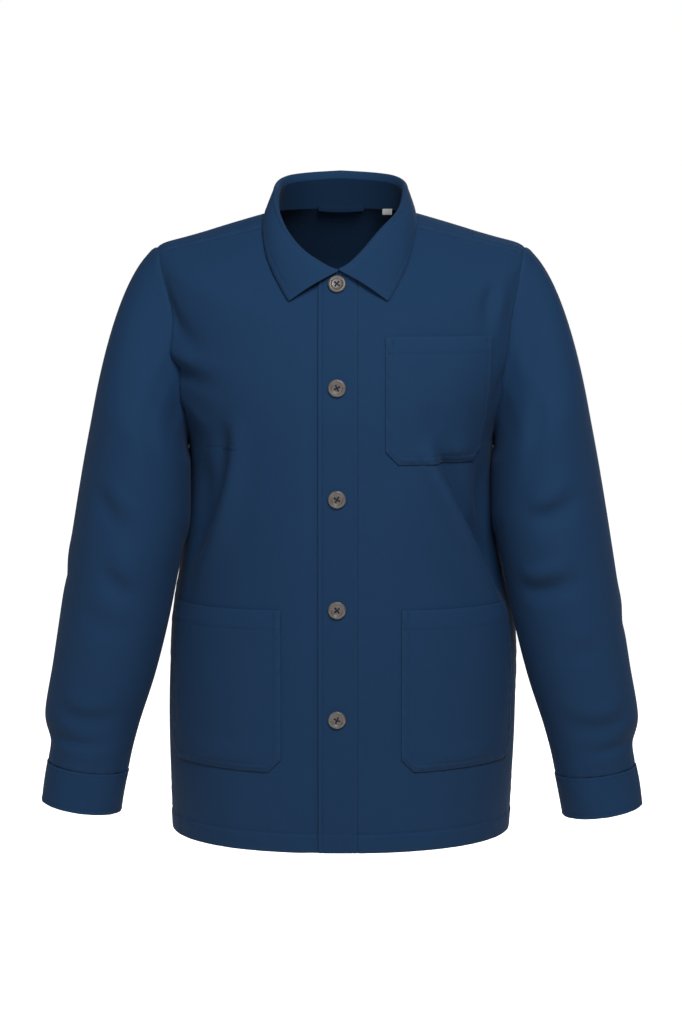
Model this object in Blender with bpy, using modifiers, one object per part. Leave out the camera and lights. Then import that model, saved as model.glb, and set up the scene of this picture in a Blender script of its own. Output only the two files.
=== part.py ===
"""Chore jacket in cotton twill, buttoned up and filled out as if worn, with nobody inside.

Metres, +Z up.  X points to the wearer's left, -Y is the front.  The origin is at the base of the neck,
midway between the two shoulder seams, where a wearer's shoulders carry the jacket.

Every piece of cloth is a wall of its own.  The body is one smooth form, ring on ring from the hem to the
neck seam, and each panel, pocket and band is a region of that form, moved out by its place in the pile.
The sleeves start on the armhole that the panels leave open.
"""

import math

import bpy
import numpy as np
from mathutils import Matrix, Vector

# ---------------------------------------------------------------- driving dimensions
SEAM_GAP = 0.0003             # clear space between two pieces that are sewn together
CLOTH = 0.0016                # one layer of washed twill with its turned edge
DOUBLED = 0.0024              # button band and cuffs, folded in two

BAND_OUTER = 0.018            # front band: from here, on the wearer's left ...
BAND_EDGE = -0.026            # ... to its free edge, lapped over to the wearer's right
BESIDE_BAND = 0.030           # next column of points past the band, on both fronts
BAND_LIFT = 0.0004            # the band's middle, out from the body form
UNDERLAP_EDGE = 0.0165        # the right front goes on under the band to here
UNDERLAP_DROP = 0.0022        # the right front's middle, in from the body form under the band
UNDERLAP_EASE = 0.018         # width over which it comes back up

BUTTON_RADIUS = 0.0101
BUTTON_HEIGHT = 0.0034
BUTTON_HOLE_RADIUS = 0.0010
BUTTON_HOLE_PITCH = 0.0044
BUTTON_CLEARANCE = 0.0002     # clear space between a button and the band
BUTTON_LINE = -0.0045         # the buttons' line, measured like the band
BUTTON_HEIGHTS = (-0.0795, -0.195, -0.3195, -0.4455, -0.572)

CAP_LEAVE = (0.72, 0.20, 0.30, 0.60)    # direction of the cap lines: out, its change, forward, down
LARGEST_BEND = 125.0          # sharpest turn at the armhole, degrees, that the gap is widened for
CAP_ROWS, ARM_ROWS = 6, 10    # rows of points in a sleeve's cap and below it
GIRTH = 0.07                  # turns an angle round the sleeve into a distance
CAP_FULLNESS = 0.54           # how far the cap lines carry on before they turn, for their length
CUFF_LIFT = 0.0012            # the cuff band stands this far out from the sleeve

# How far each sleeve's lower end swings out and rides up: the wearer's left (1) and right (-1).
SLEEVE_SWING = {1: (0.0032, 0.0005), -1: (0.0010, 0.0055)}
SWING_TOP, SWING_FOOT = -0.30, -0.70

FACING_DEPTH = 0.03           # a fold fades out this far before the side of the body
RING_RISE = 1.5               # how sharply a ring's front and back dip or rise
NORMAL_STEP = 0.02            # step of the slopes that give the outward direction

# Body form: one row for each ring, hem to neck seam.
RING_COLUMNS = ("z_front", "z_side", "z_back", "half_width", "front", "back", "square", "shift", "widest")
RINGS = (
    (-0.7265, -0.7265, -0.7265, 0.2010, 0.150, 0.150, 2.25, -0.0002, 0.000),  # 0 hem
    (-0.600, -0.600, -0.600, 0.2055, 0.150, 0.150, 2.10, 0.0015, 0.004),      # 1
    (-0.490, -0.490, -0.490, 0.2065, 0.150, 0.148, 2.15, 0.0035, 0.014),      # 2 top of the lower pockets
    (-0.420, -0.420, -0.420, 0.1930, 0.149, 0.147, 2.25, 0.0010, 0.028),      # 3
    (-0.340, -0.340, -0.340, 0.1820, 0.147, 0.146, 2.40, 0.0000, 0.034),      # 4 behind the sleeves
    (-0.268, -0.262, -0.262, 0.1775, 0.144, 0.147, 2.40, 0.0000, 0.028),      # 5 bottom of the armholes
    (-0.210, -0.190, -0.192, 0.2050, 0.140, 0.145, 2.30, 0.0000, 0.010),      # 6
    (-0.164, -0.112, -0.124, 0.2160, 0.133, 0.134, 2.08, 0.0000, 0.000),      # 7
    (-0.128, -0.0395, -0.066, 0.2230, 0.124, 0.115, 1.85, 0.0000, 0.000),     # 8 tips of the shoulders
    (-0.107, -0.0275, -0.034, 0.1820, 0.117, 0.099, 1.85, 0.0000, 0.000),     # 9
    (-0.087, -0.0105, -0.009, 0.1280, 0.110, 0.084, 1.88, 0.0000, 0.000),     # 10
    (-0.070, 0.0045, 0.008, 0.0750, 0.104, 0.070, 2.00, 0.0000, 0.000),       # 11 neck seam
)
HEM, ARMPIT, SHOULDER, NECK = 0.0, 5.0, 8.0, 11.0
ROUNDING = 0.5                # rings are blended over this many levels each way, so nothing turns sharply

# Armhole, bottom to top: the ring level, and the angle round the body of its front and back edge.
ARMHOLE_COLUMNS = ("level", "front", "back")
ARMHOLE = (
    (5.00, 90.0, 90.0),
    (5.06, 81.0, 99.0),
    (5.25, 74.0, 106.0),
    (5.60, 69.0, 111.5),
    (6.10, 65.5, 115.0),
    (6.70, 64.5, 116.0),
    (7.20, 66.0, 114.0),
    (7.60, 70.0, 109.0),
    (7.87, 75.0, 101.0),
    (7.96, 78.0, 92.0),
    (8.00, 80.0, 80.0),
)
SHOULDER_SEAM_AT_NECK = 70.0  # the seam lies forward of the shoulder's ridge

# Main folds of the body: a soft ridge (+) or trough (-) from one end to the other, seen from the front.
FOLD_COLUMNS = ("face", "x_from", "z_from", "x_to", "z_to", "half_width", "height")
BODY_FOLDS = (
    (-1, 0.100, -0.275, 0.188, -0.462, 0.016, 0.006),
    (-1, 0.150, -0.300, 0.176, -0.400, 0.020, -0.008),
    (-1, -0.116, -0.255, -0.186, -0.440, 0.015, 0.005),
    (-1, -0.156, -0.290, -0.178, -0.390, 0.020, -0.007),
    (1, 0.080, -0.250, 0.182, -0.450, 0.020, 0.005),
    (1, -0.085, -0.240, -0.182, -0.455, 0.020, 0.005),
)

# Sleeve sections below the armhole: the outer and inner end of each, and its middle and half depth in Y.
SLEEVE_COLUMNS = ("x_out", "z_out", "x_in", "z_in", "y_middle", "half_depth")
SLEEVE_SECTIONS = (
    (0.2875, -0.220, 0.1780, -0.290, -0.030, 0.0800),   # under the arm
    (0.3025, -0.300, 0.1765, -0.345, -0.036, 0.0785),
    (0.3160, -0.385, 0.1905, -0.415, -0.042, 0.0750),
    (0.3265, -0.455, 0.2035, -0.480, -0.046, 0.0700),   # elbow
    (0.3365, -0.522, 0.2185, -0.540, -0.050, 0.0630),
    (0.3465, -0.586, 0.2370, -0.598, -0.053, 0.0550),   # cloth bunched above the cuff
    (0.3400, -0.618, 0.2450, -0.628, -0.055, 0.0495),
    (0.3430, -0.642, 0.2505, -0.654, -0.056, 0.0470),   # cuff seam
)
CUFF_SECTIONS = (
    (0.3435, -0.6425, 0.2505, -0.6545, -0.056, 0.0472),
    (0.3505, -0.6890, 0.2595, -0.7030, -0.059, 0.0480),
)
SLEEVE_FOLD_COLUMNS = ("around_from", "z_from", "around_to", "z_to", "half_width", "height")
SLEEVE_FOLDS = (
    (62.0, -0.105, 84.0, -0.185, 0.018, -0.007),
    (95.0, -0.330, 40.0, -0.300, 0.014, -0.004),
    (130.0, -0.430, 60.0, -0.408, 0.014, -0.006),
    (-60.0, -0.300, -120.0, -0.345, 0.016, -0.005),
    (-130.0, -0.430, -60.0, -0.415, 0.015, -0.005),
)

# Collar: angle round the neck seam, stand height, rise of the roll above it, inward lean of the stand,
# where the fall's edge lies on the body form, and how far the fall bows out between the two.
COLLAR_COLUMNS = ("angle", "stand", "rise", "lean", "edge_angle", "edge_level", "bulge")
COLLAR = (
    (2.0, 0.0048, 0.0030, 0.0010, 19.7, 9.08, 0.0045),
    (22.0, 0.0098, 0.0035, 0.0010, 28.8, 9.68, 0.0045),
    (45.0, 0.0100, 0.0045, 0.0010, 43.0, 10.20, 0.0040),
    (68.0, 0.0115, 0.0060, 0.0015, 64.5, 10.60, 0.0025),
    (90.0, 0.0200, 0.0080, 0.0030, 92.0, 10.80, 0.0005),
    (135.0, 0.0310, 0.0090, -0.0005, 135.0, 10.66, 0.0015),
    (180.0, 0.0345, 0.0090, -0.0015, 180.0, 10.66, 0.0020),
)
LEFT_RISE, LEFT_LEAN = 0.0140, 0.0030           # the wearer's left leaf is rolled higher and further in ...
LEFT_RISE_AT, LEFT_RISE_SPREAD = 38.0, 20.0     # ... round this angle
COLLAR_START = (0.0012, 0.0100)                 # the collar's first points beside the centre front
ROLL_RADIUS = 0.0031
FALL_LIFT = 0.0045            # the fall's edge rests this far out from the body form

# Patch pockets: inner and outer edge, measured round the body from the centre front, top and bottom,
# size of the cut-off bottom corners, how far the pocket stands out, and how far its top falls outwards.
CHEST_POCKET = (0.0500, 0.1850, -0.138, -0.281, 0.0150, 0.0036, 0.0)
LOWER_POCKET = (0.0690, 0.2360, -0.446, -0.634, 0.0150, 0.0032, 0.0050)
POUCH = 0.0012                # a pocket's middle swells out by this much
POCKET_STRIPS = 7             # points across a pocket between its corners

NECK_RADIUS = 0.070           # of the neck seam at the back
LOOP_LENGTH, LOOP_WIDTH, LOOP_BOW = 0.054, 0.0075, 0.0040
LOOP_RISE, LOOP_SAG = 0.0075, 0.0015
SEWN_ON = 0.0012              # loop and label lie this far in from the collar's wall
LABEL_WIDTH, LABEL_HEIGHT, LABEL_THICK = 0.0165, 0.0070, 0.0010
LABEL_ANGLE = 129.5
LABEL_SPREAD = 0.0006         # its foot hangs a little clear

COLOURS = {
    "twill": (0.0165, 0.045, 0.112),
    "twill_doubled": (0.0155, 0.043, 0.108),
    "button": (0.175, 0.130, 0.115),
    "label": (0.58, 0.60, 0.58),
}


# ---------------------------------------------------------------- curves and forms
def ease(keys, values, at):
    """Monotone cubic through (keys, values): a smooth run that never overshoots a section."""
    keys = np.asarray(keys, float)
    values = np.asarray(values, float)
    at = np.clip(np.asarray(at, float), keys[0], keys[-1])
    step = np.diff(keys)
    slope = np.diff(values) / step
    product = slope[1:] * slope[:-1]
    total = slope[1:] + slope[:-1]
    inner = np.where(product > 0.0, 2.0 * product / np.where(total == 0.0, 1.0, total), 0.0)
    tangent = np.concatenate([slope[:1], inner, slope[-1:]])
    cell = np.clip(np.searchsorted(keys, at, side="right") - 1, 0, len(step) - 1)
    t = (at - keys[cell]) / step[cell]
    return (values[cell] * (1 + 2 * t) * (1 - t) ** 2 + values[cell + 1] * t * t * (3 - 2 * t)
            + step[cell] * tangent[cell] * t * (1 - t) ** 2
            + step[cell] * tangent[cell + 1] * t * t * (t - 1))


def column(table, columns, name):
    """One named column of a table."""
    return np.array([row[columns.index(name)] for row in table])


def section(table, columns, at):
    """All columns of a table of sections, eased at fractional row numbers."""
    rows = np.arange(len(table))
    return {name: ease(rows, column(table, columns, name), at) for name in columns}


def unit(vectors):
    """Vectors at unit length."""
    return vectors / np.linalg.norm(vectors, axis=-1, keepdims=True)


def body_rings(level):
    """The body's ring measures at a level, blended with those a little below and above."""
    reach = np.minimum(ROUNDING, np.minimum(level - HEM, NECK - level))
    below, here, above = (section(RINGS, RING_COLUMNS, level + side * reach) for side in (-1, 0, 1))
    return {name: (below[name] + 2.0 * here[name] + above[name]) / 4.0 for name in RING_COLUMNS}


def body_form(angle, level):
    """The plain body: superellipse rings, angle 0 at the centre front, 90 degrees at the wearer's left."""
    ring = body_rings(level)
    sine, cosine = np.sin(angle), np.cos(angle)
    power = 2.0 / ring["square"]
    across = np.sign(sine) * np.abs(sine) ** power
    along = np.sign(cosine) * np.abs(cosine) ** power
    depth = np.where(cosine > 0, ring["front"] + ring["widest"], ring["back"] - ring["widest"])
    end = np.where(cosine > 0, ring["z_front"], ring["z_back"])
    height = ring["z_side"] + (end - ring["z_side"]) * np.abs(cosine) ** RING_RISE
    return np.stack([ring["shift"] + ring["half_width"] * across,
                     ring["widest"] - depth * along, height], axis=-1)


def body_normal(angle, level):
    """Outward direction of the plain body."""
    low = np.clip(level - NORMAL_STEP, HEM, NECK)
    high = np.clip(level + NORMAL_STEP, HEM, NECK)
    round_it = body_form(angle + NORMAL_STEP, level) - body_form(angle - NORMAL_STEP, level)
    up_it = body_form(angle, high) - body_form(angle, low)
    return unit(np.cross(round_it, up_it))


def body_creases(points):
    """Height of the main folds at points of the body."""
    height = np.zeros(points.shape[:-1])
    for face, x_from, z_from, x_to, z_to, half_width, rise in BODY_FOLDS:
        run = np.array([x_to - x_from, z_to - z_from])
        flat = points[..., [0, 2]] - np.array([x_from, z_from])
        t = flat @ run / (run @ run)
        gap = np.linalg.norm(flat - np.clip(t, 0.0, 1.0)[..., None] * run, axis=-1)
        facing = np.clip(points[..., 1] * face / FACING_DEPTH, 0.0, 1.0)
        height += rise * facing * np.exp(-(gap / half_width) ** 2)
    return height


def on_body(angle, level, lift=0.0):
    """A point of the creased body, moved out by lift."""
    angle, level = np.broadcast_arrays(np.asarray(angle, float), np.asarray(level, float))
    plain = body_form(angle, level)
    out = body_creases(plain) + lift
    return plain + body_normal(angle, level) * out[..., None]


def angle_at(distance, level):
    """Angle at which a distance round the ring from the centre front is reached (negative to the right)."""
    angles = np.linspace(0.0, math.pi, 721)
    found = np.empty(np.shape(distance))
    for index, far in np.ndenumerate(distance):
        ring = body_form(angles, np.full_like(angles, np.broadcast_to(level, found.shape)[index]))
        shift = ring[0, 0]
        lengths = np.concatenate([[0.0], np.cumsum(np.linalg.norm(np.diff(ring, axis=0), axis=1))])
        found[index] = math.copysign(np.interp(abs(far) - shift * math.copysign(1.0, far), lengths, angles), far)
    return found


def distance_at(angle, level, side):
    """Distance round the ring from the centre front to an angle, on the wearer's left (1) or right (-1)."""
    angles = np.linspace(0.0, angle * side, 361)
    ring = body_form(angles, np.full_like(angles, level))
    return float(np.linalg.norm(np.diff(ring, axis=0), axis=1).sum() + ring[0, 0] * side)


def level_at(height):
    """Ring level whose centre front lies at a height."""
    return np.interp(height, column(RINGS, RING_COLUMNS, "z_front"), np.arange(len(RINGS)))


def place(far, height):
    """Angle and level of the body point at a distance round from the centre front and at a height."""
    level = level_at(height)
    for _ in range(6):
        angle = angle_at(far, level)
        here = body_form(angle, level)[..., 2]
        slope = (body_form(angle, level + 0.05)[..., 2] - body_form(angle, level - 0.05)[..., 2]) / 0.1
        level = level + (height - here) / slope
    return angle, level


def panel_edge(level, name):
    """Angle of a panel's outer edge: side seam, armhole, then shoulder seam.  name is front or back."""
    seam_top = column(ARMHOLE, ARMHOLE_COLUMNS, name)[-1]
    if level <= ARMPIT:
        return math.radians(90.0)
    if level >= SHOULDER:
        return math.radians(np.interp(level, (SHOULDER, NECK), (seam_top, SHOULDER_SEAM_AT_NECK)))
    levels = column(ARMHOLE, ARMHOLE_COLUMNS, "level")
    return math.radians(np.interp(level, levels, column(ARMHOLE, ARMHOLE_COLUMNS, name)))


# ---------------------------------------------------------------- Blender helpers
def cloth_material(name, colour, roughness):
    """A plain matte Principled material."""
    material = bpy.data.materials.new(name)
    material.use_nodes = True
    shader = material.node_tree.nodes["Principled BSDF"]
    shader.inputs["Base Color"].default_value = (*colour, 1.0)
    shader.inputs["Roughness"].default_value = roughness
    shader.inputs["Metallic"].default_value = 0.0
    return material


def wall(name, grid, thickness, material, closed=False):
    """A wall of cloth: an open grid of points (rows, columns) with Solidify, half to each side."""
    rows, columns = grid.shape[:2]
    mesh = bpy.data.meshes.new(name)
    last = columns if closed else columns - 1
    faces = [(r * columns + c, r * columns + (c + 1) % columns,
              (r + 1) * columns + (c + 1) % columns, (r + 1) * columns + c)
             for r in range(rows - 1) for c in range(last)]
    mesh.from_pydata([tuple(point) for point in grid.reshape(-1, 3)], [], faces)
    mesh.shade_smooth()
    mesh.materials.append(material)
    piece = bpy.data.objects.new(name, mesh)
    jacket.objects.link(piece)
    solidify = piece.modifiers.new("wall", "SOLIDIFY")
    solidify.thickness = thickness
    solidify.offset = 0.0
    return piece


# ---------------------------------------------------------------- body panels
LOWER_LEVELS = np.linspace(HEM, ARMPIT, 11)
ARM_LEVELS = column(ARMHOLE, ARMHOLE_COLUMNS, "level")
SHOULDER_LEVELS = np.linspace(SHOULDER, NECK, 6)
LEVELS = np.concatenate([LOWER_LEVELS, ARM_LEVELS[1:], SHOULDER_LEVELS[1:]])
FRONT_STRIPS = 9
BACK_STRIPS = 14
HALF_GAP = SEAM_GAP / 2


def front_row(level, side):
    """Distances of a front panel's columns from the band's outer edge to the panel's outer edge."""
    edge = distance_at(panel_edge(level, "front"), level, side) - HALF_GAP
    return np.concatenate([[BAND_OUTER + HALF_GAP], np.linspace(BESIDE_BAND, edge, FRONT_STRIPS)])


def swung(grid, side):
    """A left sleeve's points, on the wearer's left or right, with that arm's swing."""
    out, up = SLEEVE_SWING[side]
    share = np.clip((SWING_TOP - grid[..., 2]) / (SWING_TOP - SWING_FOOT), 0.0, 1.0)
    moved = grid + share[..., None] * np.array([out, 0.0, up])
    return moved * np.array([side, 1.0, 1.0])


def inset_rows(grid, lower, upper):
    """Pull the first and last row in along the cloth, so that the piece stops short of its seams."""
    grid = grid.copy()
    grid[0] += unit(grid[1] - grid[0]) * lower
    grid[-1] += unit(grid[-2] - grid[-1]) * upper
    return grid


def front_left():
    """Left front: from the band to the side seam, armhole and shoulder seam."""
    grid = np.array([on_body(angle_at(front_row(level, 1), level), level) for level in LEVELS])
    return wall("front_left", inset_rows(grid, 0.0, HALF_GAP), CLOTH, twill)


def front_right():
    """Right front: the same panel, with an underlap that dips behind the band."""
    under = np.array([UNDERLAP_EDGE, 0.0, -BAND_OUTER])
    rows = []
    for level in LEVELS:
        far = np.concatenate([under, -front_row(level, -1)])
        past = np.clip((-far - BESIDE_BAND) / UNDERLAP_EASE, 0.0, 1.0)
        drop = -UNDERLAP_DROP * (1.0 - past * past * (3.0 - 2.0 * past))
        rows.append(on_body(angle_at(far, level), level, drop))
    return wall("front_right", inset_rows(np.array(rows), 0.0, HALF_GAP), CLOTH, twill)


def front_placket():
    """Front band, over the right front's underlap."""
    far = np.linspace(BAND_EDGE, BAND_OUTER - HALF_GAP, 4)
    grid = np.array([on_body(angle_at(far, level), level, BAND_LIFT) for level in LEVELS])
    return wall("front_placket", inset_rows(grid, 0.0, HALF_GAP), DOUBLED, twill_doubled)


def back_row(level):
    """Angles of the back's columns."""
    edge = panel_edge(level, "back")
    clear = HALF_GAP / NECK_RADIUS
    return np.linspace(edge + clear, 2.0 * math.pi - edge - clear, BACK_STRIPS + 1)


def back():
    """The back, cut in one, up over the shoulders to the forward shoulder seams."""
    grid = np.array([on_body(back_row(level), level) for level in LEVELS])
    return wall("back", inset_rows(grid, 0.0, HALF_GAP), CLOTH, twill)


# ---------------------------------------------------------------- sleeves
def armhole_loop():
    """Armhole, from the shoulder seam down the front and up the back: its angles and levels."""
    front = [(panel_edge(level, "front"), level) for level in ARM_LEVELS[::-1]]
    rear = [(panel_edge(level, "back"), level) for level in ARM_LEVELS[1:-1]]
    return np.array(front + rear).T


def sleeve_section(row, around, table):
    """Sleeve sections: ovals between their outer and inner end."""
    cut = section(table, SLEEVE_COLUMNS, row)
    outer = np.stack([cut["x_out"], cut["y_middle"], cut["z_out"]], axis=-1)
    inner = np.stack([cut["x_in"], cut["y_middle"], cut["z_in"]], axis=-1)
    forward = np.stack([0 * cut["x_out"], -cut["half_depth"], 0 * cut["x_out"]], axis=-1)
    return ((outer + inner) / 2 + (outer - inner) / 2 * np.cos(around)[..., None]
            + forward * np.sin(around)[..., None])


def sleeve_creases(points, around):
    """Height of the sleeve's folds, laid out by the angle round the sleeve and the height."""
    height = np.zeros(points.shape[:-1])
    for around_from, z_from, around_to, z_to, half_width, rise in SLEEVE_FOLDS:
        start = math.radians(around_from)
        run = np.array([(math.radians(around_to) - start) * GIRTH, z_to - z_from])
        turn = (around - start + math.pi) % (2 * math.pi) - math.pi
        turn = np.broadcast_to(turn, points.shape[:-1])
        flat = np.stack([turn * GIRTH, points[..., 2] - z_from], axis=-1)
        t = flat @ run / (run @ run)
        gap = np.linalg.norm(flat - np.clip(t, 0.0, 1.0)[..., None] * run, axis=-1)
        height += rise * np.exp(-(gap / half_width) ** 2)
    return height


def sleeve_grid():
    """Left sleeve: cap lines that leave the armhole and turn into the arm, then the sections below."""
    angles, levels = armhole_loop()
    edge = on_body(angles, levels)
    normal = body_normal(angles, levels)
    middle = (edge.max(axis=0) + edge.min(axis=0)) / 2
    reach = (edge.max(axis=0) - edge.min(axis=0)) / 2
    around = np.arctan2(-(edge[:, 1] - middle[1]) / reach[1], (edge[:, 2] - middle[2]) / reach[2])
    out, change, forward, down = CAP_LEAVE
    leave = unit(np.stack([out + change * np.cos(around), -forward * np.sin(around),
                           change * np.cos(around) - down], axis=-1))
    inward = middle - edge
    inward = unit(inward - normal * (inward * normal).sum(axis=-1, keepdims=True))
    bend = np.arccos(np.clip((inward * leave).sum(axis=-1), -1.0, 1.0))
    clear = SEAM_GAP + CLOTH * np.tan(np.minimum(bend, math.radians(LARGEST_BEND)) / 2)
    edge = edge + leave * clear[:, None]

    first = sleeve_section(np.zeros_like(around), around, SLEEVE_SECTIONS)
    second = sleeve_section(np.ones_like(around), around, SLEEVE_SECTIONS)
    span = np.linalg.norm(first - edge, axis=-1, keepdims=True)
    pull = CAP_FULLNESS * span
    arrive = unit(second - first) * pull
    rows = []
    for t in np.linspace(0.0, 1.0, CAP_ROWS)[:-1]:
        rows.append((2 * t ** 3 - 3 * t ** 2 + 1) * edge + (t ** 3 - 2 * t ** 2 + t) * leave * pull
                    + (3 * t ** 2 - 2 * t ** 3) * first + (t ** 3 - t ** 2) * arrive)
    for row in np.linspace(0.0, len(SLEEVE_SECTIONS) - 1, ARM_ROWS):
        rows.append(sleeve_section(np.full_like(around, row), around, SLEEVE_SECTIONS))
    grid = np.array(rows)
    centre = grid.mean(axis=1, keepdims=True)
    fade = np.clip(np.arange(len(rows)) / 2.0, 0.0, 1.0) * np.clip(np.arange(len(rows))[::-1] / 2.0, 0.0, 1.0)
    height = sleeve_creases(grid, around[None, :]) * fade[:, None]
    return grid + unit(grid - centre) * height[..., None], around


def sleeve(name, side):
    """A sleeve on the wearer's left (side 1) or right (side -1)."""
    grid, _ = sleeve_grid()
    grid = inset_rows(grid, 0.0, SEAM_GAP)
    return wall(name, swung(grid, side), CLOTH, twill, closed=True)


def cuff(name, side):
    """A cuff band, a little wider than the sleeve end that it closes."""
    _, around = sleeve_grid()
    rows = [sleeve_section(np.full_like(around, row), around, CUFF_SECTIONS) for row in (0.0, 0.5, 1.0)]
    grid = np.array(rows)
    centre = grid.mean(axis=1, keepdims=True)
    grid = grid + unit(grid - centre) * CUFF_LIFT
    return wall(name, swung(grid, side), DOUBLED, twill_doubled, closed=True)


# ---------------------------------------------------------------- collar
def collar_angles():
    """Angles round the neck seam, from the right collar end over the back to the left one."""
    start = angle_at(np.array(COLLAR_START), np.array([NECK, NECK]))
    front = angle_at(front_row(NECK, 1), np.full(FRONT_STRIPS + 1, NECK))
    half = np.concatenate([start, front, back_row(NECK)[1:BACK_STRIPS // 2 + 1]])
    return np.concatenate([half, (2.0 * math.pi - half[:-1])[::-1]])[::-1]


def collar_lines(angles):
    """For each column: neck seam, outward and upward direction, and the collar's measures."""
    folded = np.degrees(np.minimum(angles, 2.0 * math.pi - angles))
    keys = column(COLLAR, COLLAR_COLUMNS, "angle")
    cut = {name: ease(keys, column(COLLAR, COLLAR_COLUMNS, name), folded) for name in COLLAR_COLUMNS}
    left_leaf = np.exp(-((np.degrees(angles) - LEFT_RISE_AT) / LEFT_RISE_SPREAD) ** 2)
    cut["stand"] = cut["stand"] + LEFT_RISE * left_leaf
    cut["lean"] = cut["lean"] + LEFT_LEAN * left_leaf
    seam = on_body(angles, np.full_like(angles, NECK))
    outward = unit(seam * np.array([1.0, 1.0, 0.0]))
    upward = np.zeros_like(seam)
    upward[:, 2] = 1.0
    return cut, seam, outward, upward


def collar_stand():
    """Stand: a band that rises from the neck seam, high at the back and low at the front."""
    cut, seam, outward, upward = collar_lines(collar_angles())
    top = seam + upward * cut["stand"][:, None] - outward * cut["lean"][:, None]
    foot = seam + unit(top - seam) * (SEAM_GAP + CLOTH * 0.45)
    rows = [foot, (foot + top) / 2, top - unit(top - seam) * HALF_GAP]
    return wall("collar_stand", np.array(rows), CLOTH, twill)


def collar_fall():
    """Fall: up from the stand, over a soft roll and down on the shoulders to its edge."""
    angles = collar_angles()
    cut, seam, outward, upward = collar_lines(angles)
    rise, lean, stand = (cut[name][:, None] for name in ("rise", "lean", "stand"))
    top = seam + upward * (stand + SEAM_GAP) - outward * lean
    crest = top + upward * rise + outward * ROLL_RADIUS
    over = top + upward * rise * 0.45 + outward * ROLL_RADIUS * 2.0
    side = np.where(angles > math.pi, -1.0, 1.0)
    edge_angle = np.radians(cut["edge_angle"])
    edge_angle = np.where(side > 0, edge_angle, 2.0 * math.pi - edge_angle)
    edge = on_body(edge_angle, cut["edge_level"], FALL_LIFT)
    off = body_normal(edge_angle, cut["edge_level"])
    drop = edge - over
    rows = [top + upward * HALF_GAP, top + upward * rise * 0.5, crest, over]
    for t in (0.33, 0.66, 1.0):
        rows.append(over + drop * t + off * (cut["bulge"] * math.sin(math.pi * t))[:, None])
    return wall("collar_fall", np.array(rows), CLOTH, twill)


# ---------------------------------------------------------------- what lies on the panels
def patch_pocket(name, measures, side):
    """A patch pocket with cut-off bottom corners, made from its panel's points moved out."""
    inner, outer, top, bottom, corner, lift, fall = measures
    rows = []
    heights = np.concatenate([[bottom], np.linspace(bottom + corner, top, 8)])
    for height in heights:
        cut = corner * (height == bottom)
        far = np.concatenate([[inner + cut], np.linspace(inner + corner, outer - corner, POCKET_STRIPS),
                              [outer - cut]])
        share = np.clip((far - inner) / (outer - inner), 0.0, 1.0)
        pouch = POUCH * np.sin(math.pi * share)
        lower = fall * (height - bottom) / (top - bottom)
        angle, level = place(far * side, height - lower * share)
        rows.append(on_body(angle, level, lift + pouch))
    return wall(name, np.array(rows), CLOTH, twill)


def button(name, height):
    """A turned four-hole button with a raised rim, on the band."""
    rim, dish = BUTTON_HEIGHT, BUTTON_HEIGHT * 0.66
    profile = [(0.0, dish), (0.58, dish), (0.70, rim), (0.88, rim), (1.0, rim * 0.62), (0.98, rim * 0.3),
               (0.80, 0.0), (0.0, 0.0)]
    mesh = bpy.data.meshes.new(name)
    points = [(radius * BUTTON_RADIUS, 0.0, z) for radius, z in profile]
    mesh.from_pydata(points, [(i, i + 1) for i in range(len(points) - 1)], [])
    mesh.materials.append(button_material)
    piece = bpy.data.objects.new(name, mesh)
    jacket.objects.link(piece)
    screw = piece.modifiers.new("turned", "SCREW")
    screw.steps = 20
    screw.render_steps = 20
    screw.use_merge_vertices = True
    screw.merge_threshold = 0.00005
    screw.use_smooth_shade = True
    holes = piece.modifiers.new("holes", "BOOLEAN")
    holes.operation = "DIFFERENCE"
    holes.object = hole_cutter(name, piece)
    level = level_at(height)
    angle = angle_at(np.array([BUTTON_LINE]), level)
    seat = DOUBLED / 2 + BAND_LIFT + SEAM_GAP + BUTTON_CLEARANCE
    centre = on_body(angle, level, seat)[0]
    facing = Vector(body_normal(angle, np.array([level]))[0])
    turn = facing.to_track_quat("Z", "Y").to_matrix().to_4x4()
    piece.matrix_world = Matrix.Translation(Vector(centre)) @ turn
    return piece


def hole_cutter(name, piece):
    """Four short rods through a button."""
    mesh = bpy.data.meshes.new(name + "_holes")
    sides = 8
    points, faces = [], []
    for sign_x, sign_y in ((1, 1), (-1, 1), (-1, -1), (1, -1)):
        start = len(points)
        for z in (-0.002, BUTTON_HEIGHT + 0.002):
            for k in range(sides):
                turn = 2.0 * math.pi * k / sides
                points.append((sign_x * BUTTON_HOLE_PITCH / 2 + BUTTON_HOLE_RADIUS * math.cos(turn),
                               sign_y * BUTTON_HOLE_PITCH / 2 + BUTTON_HOLE_RADIUS * math.sin(turn), z))
        faces.append(tuple(start + k for k in range(sides))[::-1])
        faces.append(tuple(start + sides + k for k in range(sides)))
        faces += [(start + k, start + (k + 1) % sides, start + sides + (k + 1) % sides, start + sides + k)
                  for k in range(sides)]
    mesh.from_pydata(points, [], faces)
    cutter = bpy.data.objects.new(name + "_holes", mesh)
    cutters.objects.link(cutter)
    cutter.parent = piece
    cutter.hide_render = True
    cutter.display_type = "WIRE"
    return cutter


def hanger_loop():
    """Strap sewn across the inside of the back neck, bowed away from the wall."""
    along = np.linspace(-1.0, 1.0, 11)
    seam = on_body(math.pi - along * LOOP_LENGTH / 2 / NECK_RADIUS, np.full_like(along, NECK))
    inward = -unit(seam * np.array([1.0, 1.0, 0.0]))
    bow = CLOTH + SEAM_GAP + LOOP_BOW * (1.0 - along ** 4)
    rows = []
    for height in (-0.5, 0.0, 0.5):
        row = seam + inward * (bow + SEWN_ON)[:, None]
        row[:, 2] = LOOP_RISE + height * LOOP_WIDTH - LOOP_SAG * (1.0 - along ** 2)
        rows.append(row)
    return wall("hanger_loop", np.array(rows), CLOTH * 0.75, twill)


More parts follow.
